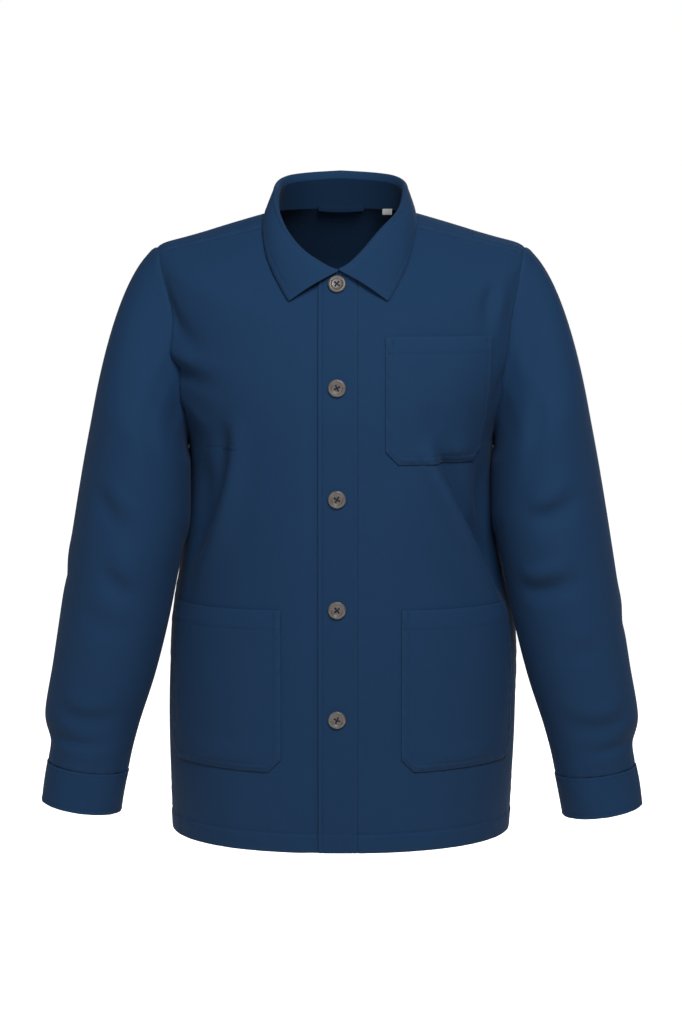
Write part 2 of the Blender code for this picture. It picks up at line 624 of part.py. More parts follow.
def neck_label():
    """Small blank label, hanging from the neck seam inside the back."""
    half = LABEL_WIDTH / 2 / NECK_RADIUS
    angles = math.radians(LABEL_ANGLE) + np.linspace(half, -half, 4)
    seam = on_body(angles, np.full_like(angles, NECK))
    inward = -unit(seam * np.array([1.0, 1.0, 0.0]))
    rows = []
    for t in (0.0, 0.5, 1.0):
        row = seam + inward * (CLOTH / 2 + SEAM_GAP + LABEL_THICK / 2 + SEWN_ON + LABEL_SPREAD * t)
        row[:, 2] = seam[:, 2].mean() - t * LABEL_HEIGHT
        rows.append(row)
    return wall("neck_label", np.array(rows), LABEL_THICK, label_material)


# ---------------------------------------------------------------- the jacket
for old in list(bpy.data.objects):
    bpy.data.objects.remove(old, do_unlink=True)

jacket = bpy.data.collections.new("chore_jacket")
cutters = bpy.data.collections.new("cutters")
bpy.context.scene.collection.children.link(jacket)
bpy.context.scene.collection.children.link(cutters)

twill = cloth_material("twill", COLOURS["twill"], 0.92)
twill_doubled = cloth_material("twill_doubled", COLOURS["twill_doubled"], 0.92)
button_material = cloth_material("button", COLOURS["button"], 0.35)
label_material = cloth_material("label", COLOURS["label"], 0.80)

back()
front_right()
front_left()
front_placket()
sleeve("sleeve_left", 1)
sleeve("sleeve_right", -1)
cuff("cuff_left", 1)
cuff("cuff_right", -1)
collar_stand()
collar_fall()
patch_pocket("chest_pocket", CHEST_POCKET, 1)
patch_pocket("pocket_left", LOWER_POCKET, 1)
patch_pocket("pocket_right", LOWER_POCKET, -1)
hanger_loop()
neck_label()
for number, button_height in enumerate(BUTTON_HEIGHTS, start=1):
    button(f"button_{number}", button_height)
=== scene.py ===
"""Chore jacket in washed navy cotton twill, buttoned up and filled out as if worn, with nobody inside.

Metres, +Z up.  X points to the wearer's left and -Y is the front.  The file follows the jacket as it is
sewn: back, fronts, band, sleeves, cuffs, collar, pockets, loop, label, buttons, then the studio round it.
"""

import math

import bpy
import numpy as np
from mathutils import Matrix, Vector


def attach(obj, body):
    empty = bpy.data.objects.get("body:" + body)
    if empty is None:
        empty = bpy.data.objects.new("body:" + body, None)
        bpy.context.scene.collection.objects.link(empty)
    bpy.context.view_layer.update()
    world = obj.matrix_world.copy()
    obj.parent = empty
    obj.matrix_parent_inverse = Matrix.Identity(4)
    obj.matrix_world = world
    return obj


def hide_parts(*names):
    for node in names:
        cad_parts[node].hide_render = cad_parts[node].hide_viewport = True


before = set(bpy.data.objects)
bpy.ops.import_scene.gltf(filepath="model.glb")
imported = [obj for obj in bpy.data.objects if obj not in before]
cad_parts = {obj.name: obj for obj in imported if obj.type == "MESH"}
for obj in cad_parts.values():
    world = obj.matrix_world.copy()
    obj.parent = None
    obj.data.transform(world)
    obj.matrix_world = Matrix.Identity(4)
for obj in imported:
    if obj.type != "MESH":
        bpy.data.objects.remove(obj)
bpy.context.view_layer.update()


# ------------------------------------------------------------------ back
# The back is one wide piece of heavy cotton twill, cut in one from the hem up over both shoulders to the
# forward shoulder seams.  Its hem is turned up twice and stitched.  The body's form is set here, because
# every other piece of the body is cut to lie against it.
RING_COLUMNS = ("z_front", "z_side", "z_back", "half_width", "front", "back", "square", "shift", "widest")
RINGS = (
    (-0.7265, -0.7265, -0.7265, 0.2010, 0.150, 0.150, 2.25, -0.0002, 0.000),
    (-0.600, -0.600, -0.600, 0.2055, 0.150, 0.150, 2.10, 0.0015, 0.004),
    (-0.490, -0.490, -0.490, 0.2065, 0.150, 0.148, 2.15, 0.0035, 0.014),
    (-0.420, -0.420, -0.420, 0.1930, 0.149, 0.147, 2.25, 0.0010, 0.028),
    (-0.340, -0.340, -0.340, 0.1820, 0.147, 0.146, 2.40, 0.0000, 0.034),
    (-0.268, -0.262, -0.262, 0.1775, 0.144, 0.147, 2.40, 0.0000, 0.028),
    (-0.210, -0.190, -0.192, 0.2050, 0.140, 0.145, 2.30, 0.0000, 0.010),
    (-0.164, -0.112, -0.124, 0.2160, 0.133, 0.134, 2.08, 0.0000, 0.000),
    (-0.128, -0.0395, -0.066, 0.2230, 0.124, 0.115, 1.85, 0.0000, 0.000),
    (-0.107, -0.0275, -0.034, 0.1820, 0.117, 0.099, 1.85, 0.0000, 0.000),
    (-0.087, -0.0105, -0.009, 0.1280, 0.110, 0.084, 1.88, 0.0000, 0.000),
    (-0.070, 0.0045, 0.008, 0.0750, 0.104, 0.070, 2.00, 0.0000, 0.000),
)
HEM, ARMPIT, SHOULDER, NECK = 0.0, 5.0, 8.0, 11.0
ROUNDING = 0.5                # rings are blended over this many levels each way
END_RISE = 1.5                # how sharply a ring climbs from its sides to its front and back
ARMHOLE_COLUMNS = ("level", "front", "back")
ARMHOLE = (
    (5.00, 90.0, 90.0),
    (5.06, 81.0, 99.0),
    (5.25, 74.0, 106.0),
    (5.60, 69.0, 111.5),
    (6.10, 65.5, 115.0),
    (6.70, 64.5, 116.0),
    (7.20, 66.0, 114.0),
    (7.60, 70.0, 109.0),
    (7.87, 75.0, 101.0),
    (7.96, 78.0, 92.0),
    (8.00, 80.0, 80.0),
)
SHOULDER_SEAM_AT_NECK = 70.0
CLOTH = 0.0014                # one layer of washed twill
DOUBLED = 0.0022              # folded in two
EDGE_RADIUS = 0.10            # about how far the neck is from the axis, to turn a gap into an angle
HALF_GAP = -0.0004            # two pieces that are sewn together lap by this much, on each side
HEM_STITCH = 0.022            # stitch line above the hem

# Folds of the body.  Each is a soft line through three points (distance round from the centre front or
# back, height), with its half width at both ends, its height (+ ridge, - trough), and a hollow beside it.
FOLD_COLUMNS = ("a_round", "a_z", "b_round", "b_z", "c_round", "c_z",
                "width_a", "width_c", "height", "hollow")
FRONT_FOLDS = (
    (0.094, -0.258, 0.140, -0.350, 0.232, -0.478, 0.011, 0.017, 0.0145, 0.80),  # from chest to waist, left
    (0.186, -0.290, 0.206, -0.350, 0.238, -0.425, 0.016, 0.019, -0.0125, 0.0),     # hollow outside it
    (0.176, -0.350, 0.200, -0.392, 0.236, -0.448, 0.010, 0.014, -0.0062, 0.0),
    (-0.124, -0.232, -0.138, -0.330, -0.200, -0.436, 0.011, 0.018, 0.0102, -0.75),
    (-0.176, -0.285, -0.190, -0.335, -0.218, -0.400, 0.015, 0.018, -0.0076, 0.0),
    (-0.242, -0.072, -0.212, -0.124, -0.160, -0.158, 0.011, 0.015, -0.0052, -0.60),  # arm dimple, right
    (-0.242, -0.160, -0.208, -0.180, -0.138, -0.196, 0.008, 0.015, -0.0062, 0.70),  # armpit inwards
    (-0.226, -0.205, -0.196, -0.222, -0.160, -0.250, 0.008, 0.012, 0.0034, 0.0),
    (0.200, -0.074, 0.184, -0.102, 0.180, -0.136, 0.010, 0.013, -0.0048, 0.6),     # dimple at the arm, left
    (0.236, -0.160, 0.216, -0.186, 0.196, -0.226, 0.008, 0.011, -0.0040, 0.5),
    (0.060, -0.300, 0.078, -0.352, 0.108, -0.402, 0.015, 0.020, 0.0020, 0.3),
    (-0.052, -0.320, -0.072, -0.380, -0.104, -0.430, 0.016, 0.022, 0.0018, -0.3),
    (0.245, -0.520, 0.258, -0.600, 0.252, -0.690, 0.016, 0.020, 0.0020, 0.4),
    (-0.250, -0.500, -0.262, -0.590, -0.256, -0.700, 0.016, 0.020, 0.0022, -0.4),
    (0.040, -0.640, 0.052, -0.690, 0.060, -0.730, 0.018, 0.022, 0.0014, 0.0),
    (-0.120, -0.655, -0.128, -0.695, -0.122, -0.730, 0.016, 0.022, 0.0014, 0.0),
    (0.060, -0.098, 0.094, -0.110, 0.138, -0.112, 0.013, 0.016, 0.0014, 0.0),
    (-0.064, -0.100, -0.102, -0.118, -0.148, -0.124, 0.013, 0.018, 0.0016, 0.0),
)
BACK_FOLDS = (
    (0.092, -0.230, 0.140, -0.330, 0.216, -0.455, 0.016, 0.020, 0.0068, 0.65),
    (-0.100, -0.225, -0.150, -0.340, -0.222, -0.462, 0.015, 0.020, 0.0064, -0.70),
    (0.176, -0.120, 0.150, -0.180, 0.128, -0.262, 0.012, 0.017, 0.0034, 0.6),
    (-0.180, -0.112, -0.158, -0.176, -0.140, -0.246, 0.012, 0.016, 0.0036, -0.6),
    (0.150, -0.260, 0.168, -0.330, 0.200, -0.400, 0.010, 0.014, -0.0040, 0.0),
    (-0.156, -0.275, -0.178, -0.330, -0.206, -0.392, 0.010, 0.014, -0.0038, 0.0),
    (0.030, -0.300, 0.022, -0.400, 0.044, -0.500, 0.020, 0.026, 0.0024, 0.5),
    (-0.048, -0.340, -0.060, -0.430, -0.052, -0.520, 0.018, 0.024, 0.0020, -0.5),
    (-0.070, -0.060, 0.000, -0.074, 0.076, -0.062, 0.010, 0.012, -0.0018, 0.5),
    (0.120, -0.540, 0.110, -0.620, 0.124, -0.720, 0.020, 0.026, 0.0022, 0.4),
    (-0.134, -0.560, -0.120, -0.640, -0.128, -0.725, 0.020, 0.026, 0.0024, -0.4),
)


def ease(keys, values, at):
    """Monotone cubic through (keys, values): each cell is a Hermite curve whose end slopes are the harmonic
    mean of the slopes beside it, so a smooth run never overshoots."""
    keys = np.asarray(keys, float)
    values = np.asarray(values, float)
    at = np.clip(np.asarray(at, float), keys[0], keys[-1])
    step = np.diff(keys)
    slope = np.diff(values) / step
    product = slope[1:] * slope[:-1]
    total = slope[1:] + slope[:-1]
    inner = np.where(product > 0.0, 2.0 * product / np.where(total == 0.0, 1.0, total), 0.0)
    tangent = np.concatenate([slope[:1], inner, slope[-1:]])
    cell = np.clip(np.searchsorted(keys, at, side="right") - 1, 0, len(step) - 1)
    t = (at - keys[cell]) / step[cell]
    return (values[cell] * (1 + 2 * t) * (1 - t) ** 2 + values[cell + 1] * t * t * (3 - 2 * t)
            + step[cell] * tangent[cell] * t * (1 - t) ** 2
            + step[cell] * tangent[cell + 1] * t * t * (t - 1))


def column(table, columns, name):
    """One named column of a table."""
    return np.array([row[columns.index(name)] for row in table])


def section(table, columns, at):
    """Every column of a table of sections, eased at fractional row numbers."""
    rows = np.arange(len(table))
    return {name: ease(rows, column(table, columns, name), at) for name in columns}


def unit(vectors):
    """Vectors divided by their length."""
    return vectors / np.maximum(np.linalg.norm(vectors, axis=-1, keepdims=True), 1e-9)


def smooth_step(x):
    """0 to 1 along 3 x squared minus 2 x cubed."""
    x = np.clip(x, 0.0, 1.0)
    return x * x * (3.0 - 2.0 * x)


def body_rings(level):
    """The body's ring measures at a level: half of its own and a quarter of those above and below."""
    reach = np.minimum(ROUNDING, np.minimum(level - HEM, NECK - level))
    below, here, above = (section(RINGS, RING_COLUMNS, level + side * reach) for side in (-1, 0, 1))
    return {name: (below[name] + 2.0 * here[name] + above[name]) / 4.0 for name in RING_COLUMNS}


def body_form(angle, level):
    """The plain body: superellipse rings, angle 0 at the centre front and 90 degrees at the wearer's left,
    each climbing from its side height to its front and back height."""
    ring = body_rings(level)
    sine, cosine = np.sin(angle), np.cos(angle)
    power = 2.0 / ring["square"]
    across = np.sign(sine) * np.abs(sine) ** power
    along = np.sign(cosine) * np.abs(cosine) ** power
    depth = np.where(cosine > 0, ring["front"] + ring["widest"], ring["back"] - ring["widest"])
    end = np.where(cosine > 0, ring["z_front"], ring["z_back"])
    height = ring["z_side"] + (end - ring["z_side"]) * np.abs(cosine) ** END_RISE
    return np.stack([ring["shift"] + ring["half_width"] * across,
                     ring["widest"] - depth * along, height], axis=-1)


def body_normal(angle, level):
    """Outward direction of the plain body: the cross product of its steps round and up."""
    turn, climb = 0.02, 0.02
    low = np.clip(level - climb, HEM, NECK)
    high = np.clip(level + climb, HEM, NECK)
    round_it = body_form(angle + turn, level) - body_form(angle - turn, level)
    up_it = body_form(angle, high) - body_form(angle, low)
    return unit(np.cross(round_it, up_it))


# Distance round each ring from the centre front, for every level and angle of a fine table.
TABLE_LEVELS = np.linspace(HEM, NECK, 441)
TABLE_ANGLES = np.linspace(0.0, math.pi, 721)
table_rings = body_form(TABLE_ANGLES[None, :], TABLE_LEVELS[:, None])
table_steps = np.linalg.norm(np.diff(table_rings, axis=1), axis=-1)
ROUND = np.concatenate([np.zeros((len(TABLE_LEVELS), 1)), np.cumsum(table_steps, axis=1)], axis=1)
RING_SHIFT = table_rings[:, 0, 0]


def table_row(level):
    """The table's row below a level, and the share of the way to the next."""
    place = np.clip(level, HEM, NECK) / NECK * (len(TABLE_LEVELS) - 1)
    row = np.minimum(place.astype(int), len(TABLE_LEVELS) - 2)
    return row, place - row


def angle_at(far, level):
    """Angle at which a distance round the ring from the centre front is reached, negative to the right."""
    far, level = np.broadcast_arrays(np.asarray(far, float), np.asarray(level, float))
    row, share = table_row(level)
    sign = np.where(far < 0.0, -1.0, 1.0)
    stacked = (ROUND + np.arange(len(TABLE_LEVELS))[:, None]).ravel()
    angles = np.tile(TABLE_ANGLES, len(TABLE_LEVELS))
    found = [np.interp(np.maximum(np.abs(far) - RING_SHIFT[r] * sign, 0.0) + r, stacked, angles)
             for r in (row, row + 1)]
    return (found[0] * (1.0 - share) + found[1] * share) * sign


def distance_of(angle, level):
    """Distance round from the centre front to an angle between -180 and 180 degrees, signed like it."""
    angle, level = np.broadcast_arrays(np.asarray(angle, float), np.asarray(level, float))
    row, share = table_row(level)
    sign = np.where(angle < 0.0, -1.0, 1.0)
    place = np.abs(angle) / math.pi * (len(TABLE_ANGLES) - 1)
    cell = np.minimum(place.astype(int), len(TABLE_ANGLES) - 2)
    part = place - cell
    lengths = [ROUND[r, cell] * (1.0 - part) + ROUND[r, cell + 1] * part + RING_SHIFT[r] * sign
               for r in (row, row + 1)]
    return (lengths[0] * (1.0 - share) + lengths[1] * share) * sign


def folds(flat, table):
    """Height of soft folds on a flat layout of points.  Each fold is a string of bells along a curve through
    its three points, swelling from nothing at its ends, with a shallower string of hollows beside it."""
    height = np.zeros(flat.shape[:-1])
    s = np.linspace(0.0, 1.0, 29)
    for ax, az, bx, bz, cx, cz, width_a, width_c, rise, hollow in table:
        ends = np.array([[ax, az], [bx, bz], [cx, cz]])
        middle = 2.0 * ends[1] - (ends[0] + ends[2]) / 2.0
        line = ((1 - s)[:, None] ** 2 * ends[0] + (2 * s * (1 - s))[:, None] * middle
                + s[:, None] ** 2 * ends[2])
        run = np.gradient(line, axis=0)
        width = width_a + (width_c - width_a) * s
        swell = np.sin(math.pi * s ** 0.85) ** 0.8
        weight = rise * swell * np.linalg.norm(run, axis=-1) / (width * math.sqrt(math.pi))
        beside = unit(np.stack([-run[:, 1], run[:, 0]], axis=-1)) * (hollow * 2.2 * width)[:, None]
        near = (np.abs(flat[..., 0] - line[:, 0].mean()) < np.ptp(line[:, 0]) / 2 + 5 * width.max())
        near &= (np.abs(flat[..., 1] - line[:, 1].mean()) < np.ptp(line[:, 1]) / 2 + 5 * width.max())
        spots = flat[near][:, None, :]
        bells = np.exp(-((spots - line) ** 2).sum(-1) / width ** 2) @ weight
        if hollow:
            bells -= abs(hollow) * np.exp(-((spots - line - beside) ** 2).sum(-1) / width ** 2) @ weight
        height[near] += bells
    return height


def body_folds(angle, level, plain):
    """Height of the body's folds, laid out by the distance round from the centre front or back."""
    wrapped = (angle + math.pi) % (2.0 * math.pi) - math.pi
    round_front = distance_of(wrapped, level)
    half_girth = distance_of(np.full_like(wrapped, math.pi), level)
    round_back = np.sign(wrapped) * (half_girth - np.abs(round_front))
    in_front = smooth_step((-plain[..., 1] + 0.035) / 0.05)
    front = folds(np.stack([round_front, plain[..., 2]], axis=-1), FRONT_FOLDS)
    rear = folds(np.stack([round_back, plain[..., 2]], axis=-1), BACK_FOLDS)
    return front * in_front + rear * (1.0 - in_front)


def on_body(angle, level, lift=0.0):
    """A point of the creased body, moved out by lift."""
    angle, level = np.broadcast_arrays(np.asarray(angle, float), np.asarray(level, float))
    plain = body_form(angle, level)
    out = body_folds(angle, level, plain) + lift
    return plain + body_normal(angle, level) * out[..., None]


def panel_edge(level, name):
    """Angle of a panel's outer edge: side seam, then armhole, then shoulder seam."""
    level = np.asarray(level, float)
    levels = column(ARMHOLE, ARMHOLE_COLUMNS, "level")
    edges = column(ARMHOLE, ARMHOLE_COLUMNS, name)
    arm = ease(levels, edges, level)
    shoulder = edges[-1] + (SHOULDER_SEAM_AT_NECK - edges[-1]) * (level - SHOULDER) / (NECK - SHOULDER)
    return np.radians(np.where(level <= ARMPIT, 90.0, np.where(level >= SHOULDER, shoulder, arm)))


def panel_levels(spacing):
    """Ring levels a few millimetres apart, closer at the hem's stitch line and the armholes' foot."""
    fine = np.linspace(HEM, NECK, 1101)
    line = body_form(np.full_like(fine, 0.9), fine)
    length = np.concatenate([[0.0], np.cumsum(np.linalg.norm(np.diff(line, axis=0), axis=-1))])
    even = np.interp(np.linspace(0.0, length[-1], int(length[-1] / spacing)), length, fine)
    stitch = np.interp(HEM_STITCH + np.linspace(-0.004, 0.004, 7), length, fine)
    foot = np.linspace(ARMPIT, ARMPIT + 0.25, 9)
    tip = SHOULDER - 0.45 * np.linspace(1.0, 0.0, 14) ** 2
    levels = np.unique(np.concatenate([even, stitch, foot, tip, tip[-1:] + 0.03]))
    return levels[np.concatenate([[True], np.diff(levels) > 1e-4])]


def across_panel(count, crowding=0.72):
    """Fractions 0 to 1 that crowd towards both edges, where the seams need points."""
    c = np.linspace(0.0, 1.0, count)
    return c - crowding * np.sin(2.0 * math.pi * c) / (2.0 * math.pi)


def pucker(along, phase=0.0):
    """Uneven ripple along a seam, from -1 to 1: three waves whose lengths never fall into step."""
    waves = ((0.0137, 0.0), (0.0211, 1.7), (0.0334, 4.1))
    return sum(np.sin(2.0 * math.pi * along / pitch + shift + phase) for pitch, shift in waves) / 3.0


def seam_relief(gap, along, phase=0.0, depth=0.0010, reach=0.0028):
    """Groove at a seam with the turned allowance as a low swell beside it, rippled along its length."""
    groove = -depth * np.exp(-(gap / reach) ** 2)
    swell = 0.0006 * np.exp(-((gap - 0.0065) / 0.0040) ** 2)
    return groove + swell + 0.00045 * pucker(along, phase) * np.exp(-((gap - 0.004) / 0.007) ** 2)


def hem_relief(above, along):
    """Turned-up hem: thicker below its stitch line, a dip along the line, ripples that die out above."""
    line = -0.0006 * np.exp(-((above - HEM_STITCH) / 0.0018) ** 2)
    thick = 0.0005 * smooth_step((HEM_STITCH - above) / 0.004)
    ripple = 0.0007 * pucker(along + 0.35 * above, 2.0) * np.exp(-((above - 0.016) / 0.016) ** 2)
    return line + thick + ripple


def wear_near(gap, reach):
    """Mask of rubbed cloth: 1 at an edge or seam, dying out over reach."""
    return np.exp(-(np.maximum(gap, 0.0) / reach) ** 1.5)


def inset_rows(grid, lower, upper):
    """The grid with its first and last row pulled in along the cloth, to stop short of its seams."""
    grid = grid.copy()
    grid[0] += unit(grid[1] - grid[0]) * lower
    grid[-1] += unit(grid[-2] - grid[-1]) * upper
    return grid


def run_lengths(grid, axis):
    """Distance along the grid's rows (axis 1) or columns (axis 0), from its first point."""
    steps = np.linalg.norm(np.diff(grid, axis=axis), axis=-1)
    start = np.zeros_like(steps.take([0], axis=axis))
    return np.concatenate([start, np.cumsum(steps, axis=axis)], axis=axis)


def lay_cloth(name, grid, thickness, material, worn, closed=False, rim=0.0005, reverse=None):
    """One piece of cloth on a grid of points: quads between neighbours, a flat map of it in metres, a mask
    of its wear, then a wall of its thickness, half to each side, with a rounded rim."""
    rows, columns = grid.shape[:2]
    ring = np.concatenate([grid, grid[:, :1]], axis=1) if closed else grid
    wear = np.concatenate([worn, worn[:, :1]], axis=1)[:, :ring.shape[1]]
    index = np.arange(rows)[:, None] * columns + np.arange(ring.shape[1])[None, :] % columns
    lower, upper = slice(0, -1), slice(1, None)
    corners = (lower, lower), (lower, upper), (upper, upper), (upper, lower)
    quads = np.stack([index[corner] for corner in corners], axis=-1).reshape(-1, 4)
    round_it = run_lengths(ring, 1)
    flat = np.stack([round_it - round_it[:, -1:] / 2.0,
                     np.repeat(run_lengths(ring, 0).mean(axis=1)[:, None], ring.shape[1], axis=1)], axis=-1)
    mapped = np.stack([flat[corner] for corner in corners], axis=2).reshape(-1, 2)
    mesh = bpy.data.meshes.new(name)
    mesh.vertices.add(rows * columns)
    mesh.vertices.foreach_set("co", grid.astype(np.float32).ravel())
    mesh.loops.add(quads.size)
    mesh.loops.foreach_set("vertex_index", quads.astype(np.int32).ravel())
    mesh.polygons.add(len(quads))
    mesh.polygons.foreach_set("loop_start", np.arange(0, quads.size, 4, dtype=np.int32))
    mesh.update(calc_edges=True)
    mesh.validate()
    mesh.shade_smooth()
    mesh.uv_layers.new(name="cloth").data.foreach_set("uv", mapped.astype(np.float32).ravel())
    rubbed = mesh.attributes.new("worn", "FLOAT", "POINT")
    rubbed.data.foreach_set("value", wear[:, :columns].astype(np.float32).ravel())
    mesh.materials.append(material)
    piece = bpy.data.objects.new(name, mesh)
    bpy.context.scene.collection.objects.link(piece)
    wall = piece.modifiers.new("wall", "SOLIDIFY")
    wall.thickness = thickness
    wall.offset = 0.0
    # The inner face can take its own material; on the jacket that is the darker twill, painted shade for the inside.
    if reverse:
        mesh.materials.append(reverse)
        wall.material_offset = 1
    edge = piece.modifiers.new("turned rim", "BEVEL")
    edge.width = rim
    edge.segments = 2
    edge.limit_method = "ANGLE"
    edge.angle_limit = math.radians(50.0)
    return piece


def add_node(tree, kind, **settings):
    """A shader node with its settings; an input given by name and value is set as its default."""
    made = tree.nodes.new(kind)
    for key, value in settings.items():
        if hasattr(made, key):
            setattr(made, key, value)
        else:
            made.inputs[key.replace("_", " ")].default_value = value
    return made


def math_node(tree, operation, *values):
    """A Math node on sockets or numbers, and its result."""
    made = add_node(tree, "ShaderNodeMath", operation=operation)
    for place, value in enumerate(values):
        if isinstance(value, (int, float)):
            made.inputs[place].default_value = value
        else:
            tree.links.new(value, made.inputs[place])
    return made.outputs[0]


def mix_colours(tree, share, first, second):
    """A colour Mix node on sockets or colours, and its result."""
    made = add_node(tree, "ShaderNodeMix", data_type="RGBA")
    for name, value in (("Factor", share), ("A", first), ("B", second)):
        kind = "Value" if name == "Factor" else "RGBA"
        socket = next(s for s in made.inputs if s.name == name and s.type == kind.upper())
        if isinstance(value, (int, float)):
            socket.default_value = value
        elif isinstance(value, tuple):
            socket.default_value = (*value, 1.0)
        else:
            tree.links.new(value, socket)
    return next(s for s in made.outputs if s.type == "RGBA")


def noise(tree, vector, scale, detail=3.0, roughness=0.55):
    """A noise pattern from 0 to 1 on a vector."""
    made = add_node(tree, "ShaderNodeTexNoise", Scale=scale, Detail=detail, Roughness=roughness)
    tree.links.new(vector, made.inputs["Vector"])
    return made.outputs["Fac"]


def washed_twill_group():
    """Twill on the cloth's flat map: steep ribs and the yarns between them, slubs, cloudy dye, faded edges,
    and the soft rumple that washing leaves."""
    tree = bpy.data.node_groups.new("washed_twill", "ShaderNodeTree")
    for name, kind in (("Cloth", "NodeSocketVector"), ("Worn", "NodeSocketFloat"),
                       ("Dye", "NodeSocketColor"),
                       ("Faded", "NodeSocketColor"), ("Rib", "NodeSocketFloat")):
        tree.interface.new_socket(name, in_out="INPUT", socket_type=kind)
    for name, kind in (("Colour", "NodeSocketColor"), ("Roughness", "NodeSocketFloat"),
                       ("Weave", "NodeSocketFloat"), ("Rumple", "NodeSocketFloat")):
        tree.interface.new_socket(name, in_out="OUTPUT", socket_type=kind)
    given = tree.nodes.new("NodeGroupInput").outputs
    parts = tree.nodes.new("ShaderNodeSeparateXYZ")
    tree.links.new(given["Cloth"], parts.inputs[0])
    u, v = parts.outputs[0], parts.outputs[1]
    turn = 2.0 * math.pi
    lean = math_node(tree, "ADD", math_node(tree, "MULTIPLY", u, 0.86), math_node(tree, "MULTIPLY", v, 0.51))
    slub = noise(tree, given["Cloth"], 260.0, 2.0)
    wander = math_node(tree, "MULTIPLY", slub, 1.6)
    ribs = math_node(tree, "SINE", math_node(tree, "ADD", math_node(
        tree, "MULTIPLY", math_node(tree, "DIVIDE", lean, given["Rib"]), turn), wander))
    yarns = math_node(tree, "SINE", math_node(tree, "MULTIPLY", math_node(
        tree, "DIVIDE", v, given["Rib"]), turn * 1.9))
    weave = math_node(tree, "ADD", math_node(tree, "MULTIPLY", ribs, 0.32),
                      math_node(tree, "MULTIPLY", yarns, 0.14))
    weave = math_node(tree, "ADD", math_node(tree, "ADD", weave, 0.5),
                      math_node(tree, "MULTIPLY", slub, 0.25))
    cloud = noise(tree, given["Cloth"], 9.0, 4.0)
    fleck = noise(tree, given["Cloth"], 85.0, 4.0, 0.7)
    tone = math_node(tree, "ADD", math_node(tree, "MULTIPLY", cloud, 0.55),
                     math_node(tree, "MULTIPLY", fleck, 0.45))
    tone = math_node(tree, "ADD", math_node(tree, "MULTIPLY", math_node(tree, "SUBTRACT", tone, 0.5), 1.1),
                     0.45)
    dark = mix_colours(tree, 0.86, (0.0, 0.0, 0.0), given["Dye"])
    light = mix_colours(tree, 0.10, given["Dye"], given["Faded"])
    colour = mix_colours(tree, tone, dark, light)
    colour = mix_colours(tree, math_node(tree, "MULTIPLY", weave, 0.07), colour, given["Faded"])
    rubbed = math_node(tree, "MULTIPLY", given["Worn"], math_node(
        tree, "MULTIPLY", math_node(tree, "ADD", fleck, math_node(tree, "MULTIPLY", ribs, 0.08)), 0.20))
    colour = mix_colours(tree, rubbed, colour, given["Faded"])
    rough = math_node(tree, "ADD", 0.80, math_node(tree, "MULTIPLY", fleck, 0.16))
    rumple = math_node(tree, "ADD", math_node(tree, "MULTIPLY", noise(tree, given["Cloth"], 42.0, 3.0), 0.6),
                       math_node(tree, "MULTIPLY", noise(tree, given["Cloth"], 150.0, 2.0), 0.25))
    result = tree.nodes.new("NodeGroupOutput").inputs
    for name, socket in (("Colour", colour), ("Roughness", rough), ("Weave", weave), ("Rumple", rumple)):
        tree.links.new(socket, result[name])
    return tree


washed_twill = washed_twill_group()


def twill_cloth(name, dye, faded, rumple=0.5):
    """Washed cotton twill: matte, with a little bloom of loose fibres, its ribs and rumple as relief."""
    material = bpy.data.materials.new(name)
    material.use_nodes = True
    tree = material.node_tree
    shader = tree.nodes["Principled BSDF"]
    group = add_node(tree, "ShaderNodeGroup", node_tree=washed_twill)
    group.inputs["Dye"].default_value = (*dye, 1.0)
    group.inputs["Faded"].default_value = (*faded, 1.0)
    group.inputs["Rib"].default_value = 0.0011
    flat = add_node(tree, "ShaderNodeUVMap", uv_map="cloth")
    rubbed = add_node(tree, "ShaderNodeAttribute", attribute_name="worn")
    tree.links.new(flat.outputs["UV"], group.inputs["Cloth"])
    tree.links.new(rubbed.outputs["Fac"], group.inputs["Worn"])
    soft = add_node(tree, "ShaderNodeBump", Strength=rumple, Distance=0.0011)
    ribbed = add_node(tree, "ShaderNodeBump", Strength=0.35, Distance=0.00025)
    tree.links.new(group.outputs["Rumple"], soft.inputs["Height"])
    tree.links.new(group.outputs["Weave"], ribbed.inputs["Height"])
    tree.links.new(soft.outputs["Normal"], ribbed.inputs["Normal"])
    tree.links.new(ribbed.outputs["Normal"], shader.inputs["Normal"])
    tree.links.new(group.outputs["Colour"], shader.inputs["Base Color"])
    tree.links.new(group.outputs["Roughness"], shader.inputs["Roughness"])
    shader.inputs["Specular IOR Level"].default_value = 0.14
    shader.inputs["Sheen Weight"].default_value = 0.05
    shader.inputs["Sheen Roughness"].default_value = 0.45
    shader.inputs["Sheen Tint"].default_value = (0.45, 0.60, 0.90, 1.0)
    return material


NAVY = (0.0106, 0.0490, 0.130)
NAVY_PAINTED_SHADE = (0.0050, 0.0220, 0.056)     # the inner (wrong) side of the twill, drawn darker as painted shade for the inside of the jacket
NAVY_FADED = (0.040, 0.090, 0.175)
navy_twill = twill_cloth("navy_twill", NAVY, NAVY_FADED)

levels = panel_levels(0.0042)[:, None]
clear_edge = panel_edge(levels, "back") + HALF_GAP / EDGE_RADIUS
back_angles = clear_edge + (2.0 * math.pi - 2.0 * clear_edge) * across_panel(150)[None, :]
back_plain = body_form(back_angles, levels)
back_round = run_lengths(back_plain, 1)
back_up = run_lengths(back_plain, 0)
from_edge = np.minimum(back_round, back_round[:, -1:] - back_round)
above_hem = back_plain[..., 2] - RINGS[0][0]
back_relief = seam_relief(from_edge, back_up, 1.0) + hem_relief(above_hem, back_round)
back_grid = inset_rows(on_body(back_angles, levels, back_relief), 0.0, HALF_GAP)
back_worn = np.maximum(wear_near(from_edge, 0.005), wear_near(above_hem, 0.004))
# The inner faces take a darker copy of the twill: painted shade for the inside of the jacket.
navy_painted_shade = twill_cloth("navy_twill_painted_shade", NAVY_PAINTED_SHADE, NAVY, 0.35)
back_piece = lay_cloth("back_panel", back_grid, CLOTH, navy_twill, back_worn, reverse=navy_painted_shade)
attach(back_piece, "root")
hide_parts("back")


